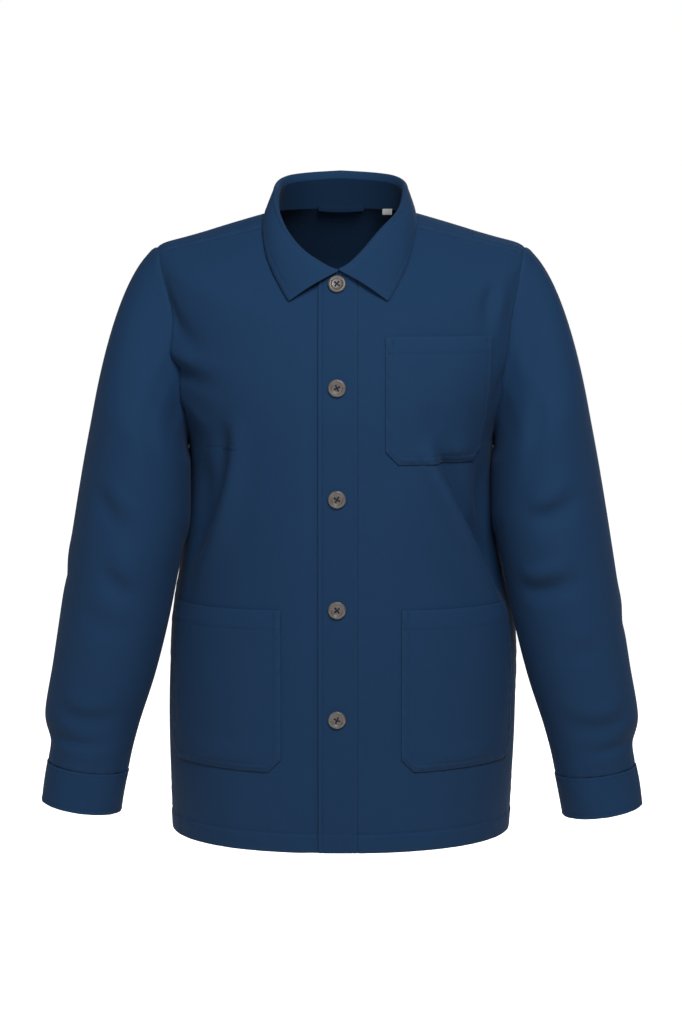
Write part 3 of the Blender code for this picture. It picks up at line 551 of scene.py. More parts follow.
# ------------------------------------------------------------------ fronts
# Two fronts of the same twill, each sewn to the back at the side seam and the shoulder.  The right one
# carries on under the button band as an underlap, so it dips behind it.
BAND_OUTER = 0.018            # the band's seam, on the wearer's left
BAND_EDGE = -0.026            # its free edge, lapped over to the wearer's right
BESIDE_BAND = 0.030
BAND_TUCK = 0.0050            # the left front's allowance goes on under the band
UNDERLAP_EDGE = 0.0105
UNDERLAP_DROP = 0.0022
UNDERLAP_EASE = 0.018
FRONT_COLUMNS = 90


def front_panel(side, start):
    """Points, distances and wear of a front: rows at ring levels, columns from start, measured round from
    the centre front, to the side seam, armhole or shoulder seam."""
    edge = distance_of(panel_edge(levels, "front") * side, levels) - HALF_GAP * side
    far = start + (edge - start) * across_panel(FRONT_COLUMNS)[None, :]
    angle = angle_at(far, levels)
    plain = body_form(angle, levels)
    above = plain[..., 2] - RINGS[0][0]
    relief = seam_relief(np.abs(edge - far), run_lengths(plain, 0), 1.0) + hem_relief(above, far)
    worn = np.maximum(wear_near(np.abs(edge - far), 0.005), wear_near(above, 0.004))
    return angle, far, relief, worn


angle, far, relief, worn = front_panel(1, BAND_OUTER - BAND_TUCK)
relief += seam_relief(np.abs(far - BAND_OUTER), run_lengths(body_form(angle, levels), 0),
                      3.0, 0.0006, 0.0018)
relief -= 0.0018 * (1.0 - smooth_step((far - BAND_OUTER + 0.0025) / 0.0040))
left_grid = inset_rows(on_body(angle, levels, relief), 0.0, HALF_GAP)
# Both fronts' inner faces take the painted-shade twill.
left_front = lay_cloth("left_front_panel", left_grid, CLOTH, navy_twill,
                       np.maximum(worn, wear_near(np.abs(far - BAND_OUTER), 0.003)), reverse=navy_painted_shade)

angle, far, relief, worn = front_panel(-1, UNDERLAP_EDGE)
past = (-far - BESIDE_BAND) / UNDERLAP_EASE
relief += -UNDERLAP_DROP * (1.0 - smooth_step(past))
right_grid = inset_rows(on_body(angle, levels, relief), 0.0, HALF_GAP)[:, ::-1]
right_front = lay_cloth("right_front_panel", right_grid, CLOTH, navy_twill, worn[:, ::-1],
                        reverse=navy_painted_shade)

for piece, node, size, area in ((left_front, "front_left", (0.286, 0.770), 0.180),
                                (right_front, "front_right", (0.318, 0.765), 0.201)):
    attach(piece, "root")
    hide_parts(node)


# ------------------------------------------------------------------ button band
# A doubled strip of the same cloth, folded at its free edge, sewn to the left front and lapped over the
# right one.  A line of stitches runs just inside each edge, and the cloth draws in a little at each.
BAND_LIFT = 0.0004
BAND_STITCH = 0.0050

NAVY_DOUBLED = (0.0104, 0.0480, 0.128)
navy_doubled = twill_cloth("navy_twill_doubled", NAVY_DOUBLED, NAVY_FADED, 0.35)

band_levels = panel_levels(0.0030)[:, None]
band_width = BAND_OUTER - HALF_GAP - BAND_EDGE
band_far = BAND_EDGE + band_width * across_panel(28, 0.45)[None, :]
band_angle = angle_at(band_far, band_levels)
band_plain = body_form(band_angle, band_levels)
band_up = run_lengths(band_plain, 0)
band_gap = np.broadcast_to(np.minimum(band_far - BAND_EDGE, BAND_OUTER - band_far), band_up.shape)
band_relief = (BAND_LIFT - 0.00045 * np.exp(-((band_gap - BAND_STITCH) / 0.0013) ** 2)
               + 0.00022 * pucker(band_up, 5.0) * np.exp(-((band_gap - 0.003) / 0.004) ** 2)
               + hem_relief(band_plain[..., 2] - RINGS[0][0], np.broadcast_to(band_far, band_plain.shape[:2])) * 0.5)
band_grid = inset_rows(on_body(band_angle, band_levels, band_relief), 0.0, HALF_GAP)
band_piece = lay_cloth("button_band", band_grid, DOUBLED, navy_doubled, wear_near(band_gap, 0.0025),
                       rim=0.0008)
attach(band_piece, "root")
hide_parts("front_placket")


# ------------------------------------------------------------------ sleeves
# One-piece sleeves set into the armholes.  The cap leaves the armhole outwards and turns down into the arm;
# the cloth breaks into soft folds at the elbow and bunches above the cuff.
SLEEVE_COLUMNS = ("x_out", "z_out", "x_in", "z_in", "y_middle", "half_depth")
SLEEVE_SECTIONS = (
    (0.2875, -0.220, 0.1765, -0.290, -0.030, 0.0800),
    (0.3025, -0.300, 0.1765, -0.345, -0.036, 0.0785),
    (0.3160, -0.385, 0.1905, -0.415, -0.042, 0.0750),
    (0.3265, -0.455, 0.2035, -0.480, -0.046, 0.0700),
    (0.3365, -0.522, 0.2185, -0.540, -0.050, 0.0630),
    (0.3465, -0.586, 0.2370, -0.598, -0.053, 0.0550),
    (0.3400, -0.618, 0.2450, -0.628, -0.055, 0.0495),
    (0.3430, -0.642, 0.2505, -0.654, -0.056, 0.0470),
)
SLEEVE_SWING = {1: (0.0032, 0.0005), -1: (0.0010, 0.0055)}
SWING_TOP, SWING_FOOT = -0.30, -0.70
CAP_FULLNESS = 0.54
CROWN_LAP = 0.20              # at the shoulder tip it goes on over the body by this much of a ring ...
CROWN_OVER = 0.0012           # ... and lies this far above it
SLEEVE_LAP = 0.0010           # the sleeve's edge goes on under the body's ...
SLEEVE_TUCK = 0.0006          # ... a little below it
CROWN_FROM = 0.25             # the crown is where the cosine of the angle round the cap is above this ...
CROWN_LEAVE = 0.6             # ... and there the cap leaves this much more outwards ...
CROWN_PULL = 0.35             # ... and is drawn this much fuller
CAP_LEAVE = (0.72, -0.30, -0.60)    # the way the cap leaves the armhole: out, forwards and up ...
CAP_LEAVE_TURN = 0.20               # ... and how much that turns from its foot to its top
SLEEVE_STEPS, CAP_ROWS, ARM_ROWS, CUFF_ROWS = 128, 34, 92, 34
TAIL_ROWS = (0.0, 0.06, 0.13, 0.20)    # rows of the sleeve's foot, down inside the cuff
CAD_GAP, CAD_CLOTH = 0.0003, 0.0016
CUFF_SECTIONS = (
    (0.3435, -0.6425, 0.2505, -0.6545, -0.056, 0.0472),
    (0.3505, -0.6890, 0.2595, -0.7030, -0.059, 0.0480),
)
TAIL_DROP = 0.0011            # the sleeve's foot goes on inside the cuff
GIRTH = 0.07                  # turns an angle round the sleeve into a distance for the folds

# Folds of each sleeve: (degrees round it from the outside over the front, height), as on the body.
SLEEVE_FOLDS = {
    1: (
        (62, -0.105, 74, -0.145, 84, -0.190, 0.013, 0.017, -0.0062, 0.4),
        (82, -0.210, 98, -0.250, 113, -0.298, 0.010, 0.013, -0.0040, 0.6),
        (112, -0.346, 86, -0.338, 58, -0.316, 0.010, 0.012, -0.0052, -0.8),
        (138, -0.432, 106, -0.428, 72, -0.414, 0.010, 0.012, -0.0060, -0.9),
        (120, -0.384, 96, -0.376, 76, -0.380, 0.012, 0.014, 0.0020, 0.0),
        (60, -0.486, 84, -0.500, 112, -0.494, 0.012, 0.015, -0.0022, 0.5),
        (40, -0.570, 80, -0.590, 128, -0.584, 0.010, 0.013, -0.0030, 0.7),
        (20, -0.604, 66, -0.616, 110, -0.622, 0.008, 0.010, -0.0024, -0.7),
        (-20, -0.430, -6, -0.462, 22, -0.478, 0.012, 0.014, -0.0026, 0.5),
        (-62, -0.120, -80, -0.170, -88, -0.230, 0.013, 0.016, -0.0050, -0.5),
        (-60, -0.300, -88, -0.330, -122, -0.346, 0.013, 0.015, -0.0050, 0.7),
        (-130, -0.430, -96, -0.420, -58, -0.412, 0.012, 0.014, -0.0054, -0.8),
        (-140, -0.500, -104, -0.508, -64, -0.492, 0.012, 0.015, -0.0030, 0.5),
        (-30, -0.588, -80, -0.602, -132, -0.596, 0.009, 0.012, -0.0030, 0.7),
        (150, -0.340, 168, -0.372, 190, -0.384, 0.011, 0.013, -0.0020, 0.4),
    ),
    -1: (
        (64, -0.100, 78, -0.142, 86, -0.188, 0.013, 0.016, -0.0058, 0.45),
        (52, -0.312, 70, -0.338, 92, -0.360, 0.012, 0.013, -0.0044, 0.6),
        (72, -0.402, 90, -0.424, 112, -0.440, 0.011, 0.013, -0.0046, 0.7),
        (84, -0.384, 98, -0.388, 118, -0.398, 0.011, 0.013, 0.0022, 0.0),
        (62, -0.452, 84, -0.470, 116, -0.478, 0.013, 0.015, -0.0026, 0.5),
        (88, -0.220, 104, -0.260, 122, -0.318, 0.011, 0.014, -0.0030, -0.4),
        (44, -0.566, 84, -0.584, 124, -0.580, 0.010, 0.012, -0.0028, 0.7),
        (22, -0.600, 70, -0.612, 118, -0.616, 0.008, 0.010, -0.0024, -0.7),
        (-16, -0.380, 2, -0.412, 26, -0.430, 0.012, 0.015, -0.0024, 0.5),
        (-60, -0.116, -78, -0.168, -90, -0.224, 0.013, 0.016, -0.0048, -0.5),
        (-56, -0.316, -92, -0.338, -126, -0.352, 0.013, 0.015, -0.0052, 0.7),
        (-128, -0.420, -98, -0.432, -60, -0.424, 0.012, 0.014, -0.0050, -0.8),
        (-36, -0.584, -84, -0.600, -130, -0.590, 0.009, 0.012, -0.0030, 0.7),
        (152, -0.350, 170, -0.378, 188, -0.396, 0.011, 0.013, -0.0020, 0.4),
    ),
}


def armhole_loop(count):
    """Angles and levels round the armhole, evenly spaced along it: from the shoulder seam down the front
    edge and up the back edge."""
    down = np.concatenate([np.linspace(SHOULDER, ARMPIT + 0.3, 240),
                           np.linspace(ARMPIT + 0.3, ARMPIT, 240)[1:]])
    angles = np.concatenate([panel_edge(down, "front"), panel_edge(down[::-1], "back")[1:-1]])
    all_levels = np.concatenate([down, down[::-1][1:-1]])
    points = body_form(angles, all_levels)
    length = np.concatenate([[0.0], np.cumsum(np.linalg.norm(
        np.diff(np.concatenate([points, points[:1]]), axis=0), axis=-1))])
    at = np.linspace(0.0, length[-1], count, endpoint=False)
    closed = [np.concatenate([values, values[:1]]) for values in (angles, all_levels)]
    return np.interp(at, length, closed[0]), np.interp(at, length, closed[1])


def sleeve_section(row, around, table):
    """Ovals between the outer and inner end of each section: cosine across, sine forwards."""
    cut = section(table, SLEEVE_COLUMNS, row)
    outer = np.stack([cut["x_out"], cut["y_middle"], cut["z_out"]], axis=-1)
    inner = np.stack([cut["x_in"], cut["y_middle"], cut["z_in"]], axis=-1)
    none = np.zeros_like(cut["x_out"])
    forward = np.stack([none, -cut["half_depth"], none], axis=-1)
    return ((outer + inner) / 2 + (outer - inner) / 2 * np.cos(around)[..., None]
            + forward * np.sin(around)[..., None])


def sleeve_grid(side, count, cap_rows, arm_rows):
    """The sleeve's points: cap lines are Hermite curves from the armhole to the first section, then the
    eased sections; then the folds move it out from its axis."""
    angles, loop_levels = armhole_loop(count)
    mirror = np.array([side, 1.0, 1.0])
    edge = on_body(angles * side, loop_levels) * mirror
    middle = (edge.max(axis=0) + edge.min(axis=0)) / 2
    reach = (edge.max(axis=0) - edge.min(axis=0)) / 2
    around = np.arctan2(-(edge[:, 1] - middle[1]) / reach[1], (edge[:, 2] - middle[2]) / reach[2])
    crown = smooth_step((np.cos(around) - CROWN_FROM) / (1.0 - CROWN_FROM))
    raised = loop_levels + CROWN_LAP * crown
    edge = on_body(angles * side, raised) * mirror
    normal = body_normal(angles * side, raised) * mirror
    across = unit(np.cross(np.roll(edge, -1, axis=0) - np.roll(edge, 1, axis=0), normal))
    out, fore, up = CAP_LEAVE
    turned = CAP_LEAVE_TURN * np.cos(around)
    leave = unit(np.stack([out + turned, fore * np.sin(around), up + turned], axis=-1))
    top = int(np.argmax(np.cos(around)))
    across = across * np.sign((across[top] * leave[top]).sum())
    leave = unit(leave + across * (CROWN_LEAVE * crown)[:, None])
    lifted = CROWN_OVER * crown - SLEEVE_TUCK * (1.0 - crown)
    edge = edge - across * SLEEVE_LAP + normal * lifted[:, None]
    first = sleeve_section(np.zeros_like(around), around, SLEEVE_SECTIONS)
    second = sleeve_section(np.ones_like(around), around, SLEEVE_SECTIONS)
    apart = np.linalg.norm(first - edge, axis=-1, keepdims=True)
    pull = CAP_FULLNESS * (1.0 + CROWN_PULL * crown)[:, None] * apart
    arrive = unit(second - first) * pull
    t = np.linspace(0.0, 1.0, cap_rows)[:-1, None, None] ** 1.25
    cap = ((2 * t ** 3 - 3 * t ** 2 + 1) * edge + (t ** 3 - 2 * t ** 2 + t) * leave * pull
           + (3 * t ** 2 - 2 * t ** 3) * first + (t ** 3 - t ** 2) * arrive)
    rows = np.linspace(0.0, len(SLEEVE_SECTIONS) - 1, arm_rows)[:, None]
    arm = sleeve_section(*np.broadcast_arrays(rows, around), SLEEVE_SECTIONS)
    inside = np.array(TAIL_ROWS)[:, None]
    tail = sleeve_section(*np.broadcast_arrays(inside, around), CUFF_SECTIONS)
    tail -= unit(tail - tail.mean(axis=1, keepdims=True)) * TAIL_DROP
    grid = np.concatenate([cap, arm, tail])
    outward = unit(grid - grid.mean(axis=1, keepdims=True))
    down = run_lengths(grid, 0)
    foot = len(cap) + len(arm) - 1
    to_cuff = down[foot:foot + 1] - down
    fade = smooth_step(down / 0.05) * smooth_step(to_cuff / 0.03)
    turn = np.broadcast_to(np.degrees(around), down.shape)
    table = [tuple(np.radians(v) * GIRTH if place in (0, 2, 4) else v for place, v in enumerate(row))
             for row in SLEEVE_FOLDS[side]]
    height = np.zeros(grid.shape[:2])
    for whole_turn in (-360.0, 0.0, 360.0):
        flat = np.stack([np.radians(turn + whole_turn) * GIRTH, grid[..., 2]], axis=-1)
        height += folds(flat, table)
    ring = run_lengths(grid, 1)
    relief = (height * fade + seam_relief(down, ring, 2.0, 0.0004, 0.0016)
              - 0.0004 * np.exp(-(to_cuff / 0.002) ** 2)
              + 0.0009 * pucker(ring * 0.8, 4.0) * np.exp(-((to_cuff - 0.006) / 0.012) ** 2))
    seam = 0.0009 * np.exp(-((turn % 360.0 - 180.0) * math.pi / 180 * GIRTH / 0.0022) ** 2)
    relief -= seam * smooth_step(down / 0.02)
    return grid + outward * relief[..., None], around, down, to_cuff


def swung(grid, side):
    """A left sleeve's points, on the wearer's left or right, with that arm's swing."""
    out, up = SLEEVE_SWING[side]
    share = np.clip((SWING_TOP - grid[..., 2]) / (SWING_TOP - SWING_FOOT), 0.0, 1.0)
    moved = grid + share[..., None] * np.array([out, 0.0, up])
    moved = moved * np.array([side, 1.0, 1.0])
    return moved if side > 0 else moved[:, ::-1]


for side, word in ((1, "left"), (-1, "right")):
    grid, around, down, to_cuff = sleeve_grid(side, SLEEVE_STEPS, CAP_ROWS, ARM_ROWS)
    grid = swung(grid, side)
    worn = np.maximum(wear_near(down, 0.004), wear_near(to_cuff, 0.004))
    sleeve = lay_cloth(f"{word}_sleeve_cloth", grid, CLOTH, navy_twill, worn, closed=True)
    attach(sleeve, "root")
    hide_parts(f"sleeve_{word}")


# ------------------------------------------------------------------ cuffs
# Plain bands of doubled twill that close the sleeve ends, turned at the foot and stitched round the seam.
CUFF_LIFT = 0.0007
CUFF_CLOTH = 0.0018
CUFF_STITCH = 0.0045

cuff_grids = {}
for side, word in ((1, "left"), (-1, "right")):
    turn = np.linspace(0.0, 2.0 * math.pi, SLEEVE_STEPS, endpoint=False)[None, :]
    rows = across_panel(CUFF_ROWS, 0.6)[:, None]
    grid = sleeve_section(*np.broadcast_arrays(rows, turn), CUFF_SECTIONS)
    outward = unit(grid - grid.mean(axis=1, keepdims=True))
    down = run_lengths(grid, 0)
    ring = run_lengths(grid, 1)
    gap = np.minimum(down, down[-1:] - down)
    relief = (CUFF_LIFT - 0.00035 * np.exp(-((gap - CUFF_STITCH) / 0.0013) ** 2)
              + 0.0006 * pucker(ring * 1.1, 1.0 + side) * np.exp(-((gap - 0.004) / 0.007) ** 2)
              + 0.0009 * np.sin(ring * 2.0 * math.pi / 0.083 + side) * np.sin(math.pi * rows))
    grid = swung(grid + outward * relief[..., None], side)
    cuff = lay_cloth(f"{word}_cuff_band", grid, CUFF_CLOTH, navy_doubled, wear_near(gap, 0.003),
                     closed=True, rim=0.0008)
    cuff_grids[side] = grid
    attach(cuff, "root")
    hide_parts(f"cuff_{word}")


# ------------------------------------------------------------------ collar
# A one-piece shirt collar on a low stand.  The stand rises from the neck seam, high at the back; the fall
# is sewn to it, turns over a soft roll and lies down on the shoulders, with a point at each front corner.
COLLAR_COLUMNS = ("angle", "stand", "rise", "lean", "edge_angle", "edge_level", "bulge")
COLLAR = (
    (2.0, 0.0048, 0.0030, 0.0010, 19.7, 9.08, 0.0045),
    (22.0, 0.0098, 0.0035, 0.0010, 28.8, 9.68, 0.0045),
    (45.0, 0.0100, 0.0045, 0.0010, 43.0, 10.20, 0.0040),
    (68.0, 0.0115, 0.0060, 0.0015, 64.5, 10.60, 0.0025),
    (90.0, 0.0200, 0.0080, 0.0030, 92.0, 10.80, 0.0005),
    (135.0, 0.0310, 0.0090, -0.0005, 135.0, 10.66, 0.0015),
    (180.0, 0.0345, 0.0090, -0.0015, 180.0, 10.66, 0.0020),
)
ROLL_RADIUS = 0.0031
FALL_LIFT = 0.0045
COLLAR_STITCH = 0.0055
STAND_TUCK, STAND_TUCK_RISE = 0.0014, (0.0009, 0.0018)    # the stand's top, tucked behind the fall
LEFT_RISE, LEFT_LEAN = 0.0140, 0.0030           # the wearer's left leaf is rolled higher and further in ...
LEFT_RISE_AT, LEFT_RISE_SPREAD = 38.0, 24.0     # ... round this angle
COLLAR_STEPS = 250
COLLAR_OFF_CENTRE = 0.0028    # the two ends meet above the buttons, a little to the wearer's right

start = float(angle_at(np.array(0.0006), np.array(NECK)))
collar_angle = np.linspace(start, 2.0 * math.pi - start, COLLAR_STEPS)
folded = np.degrees(np.minimum(collar_angle, 2.0 * math.pi - collar_angle))
collar_keys = column(COLLAR, COLLAR_COLUMNS, "angle")
cut = {name: ease(collar_keys, column(COLLAR, COLLAR_COLUMNS, name), folded)[:, None]
       for name in COLLAR_COLUMNS}
neck_seam = on_body(collar_angle, np.full_like(collar_angle, NECK))
outward = unit(neck_seam * np.array([1.0, 1.0, 0.0]))
upward = np.zeros_like(neck_seam)
upward[:, 2] = 1.0

left_leaf = np.exp(-((np.degrees(collar_angle) - LEFT_RISE_AT) / LEFT_RISE_SPREAD) ** 2)[:, None]
cut["stand"] = cut["stand"] + LEFT_RISE * left_leaf
cut["lean"] = cut["lean"] + LEFT_LEAN * left_leaf
stand_top = neck_seam + upward * cut["stand"] - outward * cut["lean"]


def centred(grid):
    """The collar's points with its front drawn over to the buttons' line; its back stays where it is."""
    grid = grid.copy()
    grid[..., 0] -= COLLAR_OFF_CENTRE * smooth_step(-outward[:, 1] + 0.2)
    return grid


climb = np.linspace(0.0, 1.0, 15)[:, None, None]
stand_grid = neck_seam + (stand_top - neck_seam) * climb
stand_grid = stand_grid + outward * (0.0005 * np.sin(math.pi * climb))
tucked = stand_top + outward * STAND_TUCK + upward * np.array(STAND_TUCK_RISE)[:, None, None]
stand_grid = centred(np.concatenate([stand_grid, tucked]))
stand_worn = np.broadcast_to(wear_near(run_lengths(stand_grid, 0), 0.002), stand_grid.shape[:2])
# The stand's inner face, towards the neck, takes the painted-shade twill.
stand_piece = lay_cloth("collar_stand_band", stand_grid, CLOTH, navy_twill, stand_worn, reverse=navy_painted_shade)

top = neck_seam + upward * (cut["stand"] + CAD_GAP) - outward * cut["lean"]
roll = np.linspace(0.0, math.pi, 15)[:-1, None, None]
over_roll = (top + outward * ROLL_RADIUS * (1.0 - np.cos(roll))
             + upward * cut["rise"] * (0.45 * roll / math.pi + 0.775 * np.sin(roll)))
over = top + upward * cut["rise"] * 0.45 + outward * ROLL_RADIUS * 2.0
edge_angle = np.radians(cut["edge_angle"][:, 0])
edge_angle = np.where(collar_angle > math.pi, 2.0 * math.pi - edge_angle, edge_angle)
edge_level = cut["edge_level"][:, 0]
fall_edge = on_body(edge_angle, edge_level, FALL_LIFT)
off = body_normal(edge_angle, edge_level)
t = across_panel(46, 0.35)[:, None, None]
fall = over + (fall_edge - over) * t + off * cut["bulge"] * np.sin(math.pi * t)
fall_grid = centred(np.concatenate([over_roll, fall]))
for _ in range(4):
    fall_grid[1:-1] = (fall_grid[:-2] + 2.0 * fall_grid[1:-1] + fall_grid[2:]) / 4.0
fall_down = run_lengths(fall_grid, 0)
fall_round = run_lengths(fall_grid, 1)
fall_gap = np.minimum(fall_down[-1:] - fall_down, np.minimum(fall_round, fall_round[:, -1:] - fall_round))
fall_relief = (-0.00035 * np.exp(-((fall_gap - COLLAR_STITCH) / 0.0014) ** 2)
               + 0.0004 * pucker(fall_round, 0.5) * np.exp(-((fall_gap - 0.004) / 0.005) ** 2)
               - 0.0010 * np.exp(-(fall_gap / 0.002) ** 2))
fall_grid = fall_grid + off * (fall_relief * smooth_step(fall_down / 0.02))[..., None]
fall_worn = np.maximum(wear_near(fall_gap, 0.003), 0.6 * np.exp(-((fall_down - 0.010) / 0.006) ** 2))
fall_piece = lay_cloth("collar_fall_leaf", fall_grid[:, ::-1], CLOTH, navy_twill, fall_worn[:, ::-1],
                        rim=0.0006)

for piece, node, size, area in ((stand_piece, "collar_stand", (0.500, 0.035), 0.0124),
                                (fall_piece, "collar_fall", (0.608, 0.078), 0.0291)):
    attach(piece, "root")
    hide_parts(node)


# ------------------------------------------------------------------ patch pockets
# One chest pocket and two lower pockets of single twill, with a turned and stitched top hem and edges
# turned under and stitched near the edge.  The bottom corners are cut off.
SUNK_EDGE = 0.0036            # how far in from its edge a pocket is drawn down by its stitches
POCKET_SEAT = 0.0016          # a pocket's middle, out from the body form, where its edge is sewn down
# Inner and outer edge, top, bottom, cut-off corner, how far it stands out, how far its top falls outwards,
# swell of its middle, top hem, and how far in from its edge it is stitched.
CHEST_POCKET = (0.0500, 0.1850, -0.138, -0.281, 0.0150, 0.0036, 0.0, 0.0016, 0.0190, 0.0085)
LOWER_POCKET = (0.0690, 0.2360, -0.446, -0.634, 0.0150, 0.0032, 0.0050, 0.0014, 0.0225, 0.0085)
CHEST_POUCH = (
    (0.106, -0.262, 0.134, -0.268, 0.166, -0.258, 0.011, 0.013, 0.0034, 0.0),
    (0.098, -0.214, 0.104, -0.240, 0.112, -0.252, 0.010, 0.012, -0.0026, 0.0),
    (0.150, -0.206, 0.164, -0.230, 0.174, -0.254, 0.009, 0.011, -0.0018, 0.5),
    (0.062, -0.170, 0.066, -0.210, 0.070, -0.250, 0.010, 0.012, 0.0012, 0.0),
)
LOWER_POUCH = (
    (0.100, -0.612, 0.150, -0.620, 0.210, -0.608, 0.012, 0.014, 0.0016, 0.0),
    (0.120, -0.470, 0.142, -0.500, 0.172, -0.512, 0.014, 0.018, -0.0012, 0.0),
    (0.088, -0.520, 0.094, -0.570, 0.106, -0.604, 0.010, 0.013, -0.0012, 0.3),
    (0.206, -0.500, 0.216, -0.550, 0.210, -0.600, 0.011, 0.014, 0.0012, 0.0),
)


def level_at(height):
    """Ring level whose centre front lies at a height."""
    return np.interp(height, column(RINGS, RING_COLUMNS, "z_front"), np.arange(len(RINGS)))


def place_on_body(far, height):
    """Angle and level of the body point at a distance round and a height, by a few Newton steps in level."""
    level = level_at(height)
    for _ in range(6):
        angle = angle_at(far, level)
        here = body_form(angle, level)[..., 2]
        slope = (body_form(angle, level + 0.05)[..., 2] - body_form(angle, level - 0.05)[..., 2]) / 0.1
        level = level + (height - here) / slope
    return angle, level


def fallen(far, height, measures):
    """Heights on a pocket, lowered by its fall times the share across and the share up it."""
    inner, outer, top, bottom, _, _, fall = measures[:7]
    return height - fall * (height - bottom) / (top - bottom) * (far - inner) / (outer - inner)


def patch_pocket(measures, pouch_folds, side, spacing=0.0020):
    """Points and wear of a pocket: rows at heights, columns between its sides, which draw in at the cut-off
    corners.  It bows out like a sine, sinks along its stitch line, and is thicker where it is turned."""
    inner, outer, top, bottom, corner, lift, fall, bow, top_hem, inset = measures
    height = bottom + (top - bottom) * across_panel(int((top - bottom) / spacing) + 14, 0.45)[:, None]
    draw = corner * np.clip(1.0 - (height - bottom) / corner, 0.0, 1.0)
    share = across_panel(int((outer - inner) / spacing) + 14, 0.45)[None, :]
    far = inner + draw + (outer - inner - 2.0 * draw) * share
    height = np.broadcast_to(height, far.shape)
    to_corner = (np.minimum(far - inner, outer - far) + height - bottom - corner) / math.sqrt(2.0)
    to_side = np.minimum(far - inner, outer - far)
    gap = np.minimum(np.minimum(to_side, to_corner), height - bottom)
    from_top = top - height
    relief = lift + bow * np.sin(math.pi * (far - inner) / (outer - inner)) * smooth_step(gap / 0.03)
    relief += folds(np.stack([far, height], axis=-1), pouch_folds) * smooth_step(gap / 0.012)
    turned = 0.0004 * smooth_step((inset - gap) / 0.003) + 0.0003 * smooth_step((top_hem - from_top) / 0.003)
    dip = (-0.0003 * np.exp(-((gap - inset) / 0.0016) ** 2)
           - 0.0002 * np.exp(-((from_top - top_hem) / 0.0016) ** 2))
    ripple = 0.0006 * pucker(far * 1.2 + height * 0.9, 1.5 * side) * np.exp(-((gap - 0.004) / 0.006) ** 2)
    at_edge = np.maximum(np.exp(-(gap / SUNK_EDGE) ** 2), 0.85 * np.exp(-(from_top / 0.0110) ** 2))
    sunk = -(lift - POCKET_SEAT) * at_edge
    relief += turned + dip + ripple + sunk
    angle, level = place_on_body(far * side, fallen(far, height, measures))
    worn = np.maximum(wear_near(gap, 0.0028), wear_near(from_top, 0.003))
    grid = on_body(angle, level, relief)
    return (grid, worn) if side > 0 else (grid[:, ::-1], worn[:, ::-1])


sewn_pockets = {}
for name, node, measures, pouch, side, size in (
        ("chest_patch_pocket", "chest_pocket", CHEST_POCKET, CHEST_POUCH, 1, (0.141, 0.149)),
        ("left_patch_pocket", "pocket_left", LOWER_POCKET, LOWER_POUCH, 1, (0.174, 0.192)),
        ("right_patch_pocket", "pocket_right", LOWER_POCKET, LOWER_POUCH, -1, (0.174, 0.192))):
    grid, worn = patch_pocket(measures, pouch, side)
    pocket = lay_cloth(name, grid, CLOTH, navy_twill, worn, rim=0.0006)
    sewn_pockets[name] = (measures, side)
    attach(pocket, "root")
    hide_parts(node)


# ------------------------------------------------------------------ hanger loop and label
# A strap of folded twill is sewn across the inside of the back neck by its two ends, and a small blank
# woven label is caught in the neck seam beside it.
LOOP_LENGTH, LOOP_WIDTH, LOOP_BOW = 0.054, 0.0075, 0.0040
LABEL_WIDTH, LABEL_HEIGHT, LABEL_THICK = 0.0165, 0.0070, 0.0008
LABEL_ANGLE = 129.5
LOOP_LEVEL, LOOP_SAG, LOOP_CLEAR = 0.0075, 0.0015, 0.0011
LABEL_CLEAR = 0.0014
NECK_RADIUS = 0.070

along = np.linspace(-1.0, 1.0, 61)
loop_seam = on_body(math.pi - along * LOOP_LENGTH / 2 / NECK_RADIUS, np.full_like(along, NECK))
inward = -unit(loop_seam * np.array([1.0, 1.0, 0.0]))
rise = np.linspace(-0.5, 0.5, 11)[:, None]
bow = CAD_CLOTH + CAD_GAP + LOOP_BOW * (1.0 - along ** 4) + LOOP_CLEAR + 0.0003 * np.cos(math.pi * rise) ** 2
loop_grid = loop_seam + inward * bow[..., None]
loop_grid[..., 2] = LOOP_LEVEL + rise * LOOP_WIDTH - LOOP_SAG * (1.0 - along ** 2)
loop_worn = np.broadcast_to(0.6 * wear_near((0.5 - np.abs(rise)) * LOOP_WIDTH, 0.0015), loop_grid.shape[:2])
# The strap is drawn in the darker inner-face twill: painted shade, as it hangs inside the back neck.
loop_piece = lay_cloth("hanger_strap", loop_grid, CLOTH, navy_painted_shade, loop_worn, rim=0.0004)
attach(loop_piece, "root")
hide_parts("hanger_loop")


def label_cloth():
    """Pale woven satin: fine close ribs with a soft gloss, on Object coordinates."""
    material = bpy.data.materials.new("label_weave")
    material.use_nodes = True
    tree = material.node_tree
    shader = tree.nodes["Principled BSDF"]
    place = add_node(tree, "ShaderNodeTexCoord")
    ribs = add_node(tree, "ShaderNodeTexWave", Scale=900.0, Distortion=0.4)
    tree.links.new(place.outputs["Object"], ribs.inputs["Vector"])
    colour = mix_colours(tree, ribs.outputs["Fac"], (0.52, 0.545, 0.53), (0.64, 0.66, 0.64))
    tree.links.new(colour, shader.inputs["Base Color"])
    relief = add_node(tree, "ShaderNodeBump", Strength=0.2, Distance=0.0001)
    tree.links.new(ribs.outputs["Fac"], relief.inputs["Height"])
    tree.links.new(relief.outputs["Normal"], shader.inputs["Normal"])
    shader.inputs["Roughness"].default_value = 0.6
    shader.inputs["Sheen Weight"].default_value = 0.2
    return material


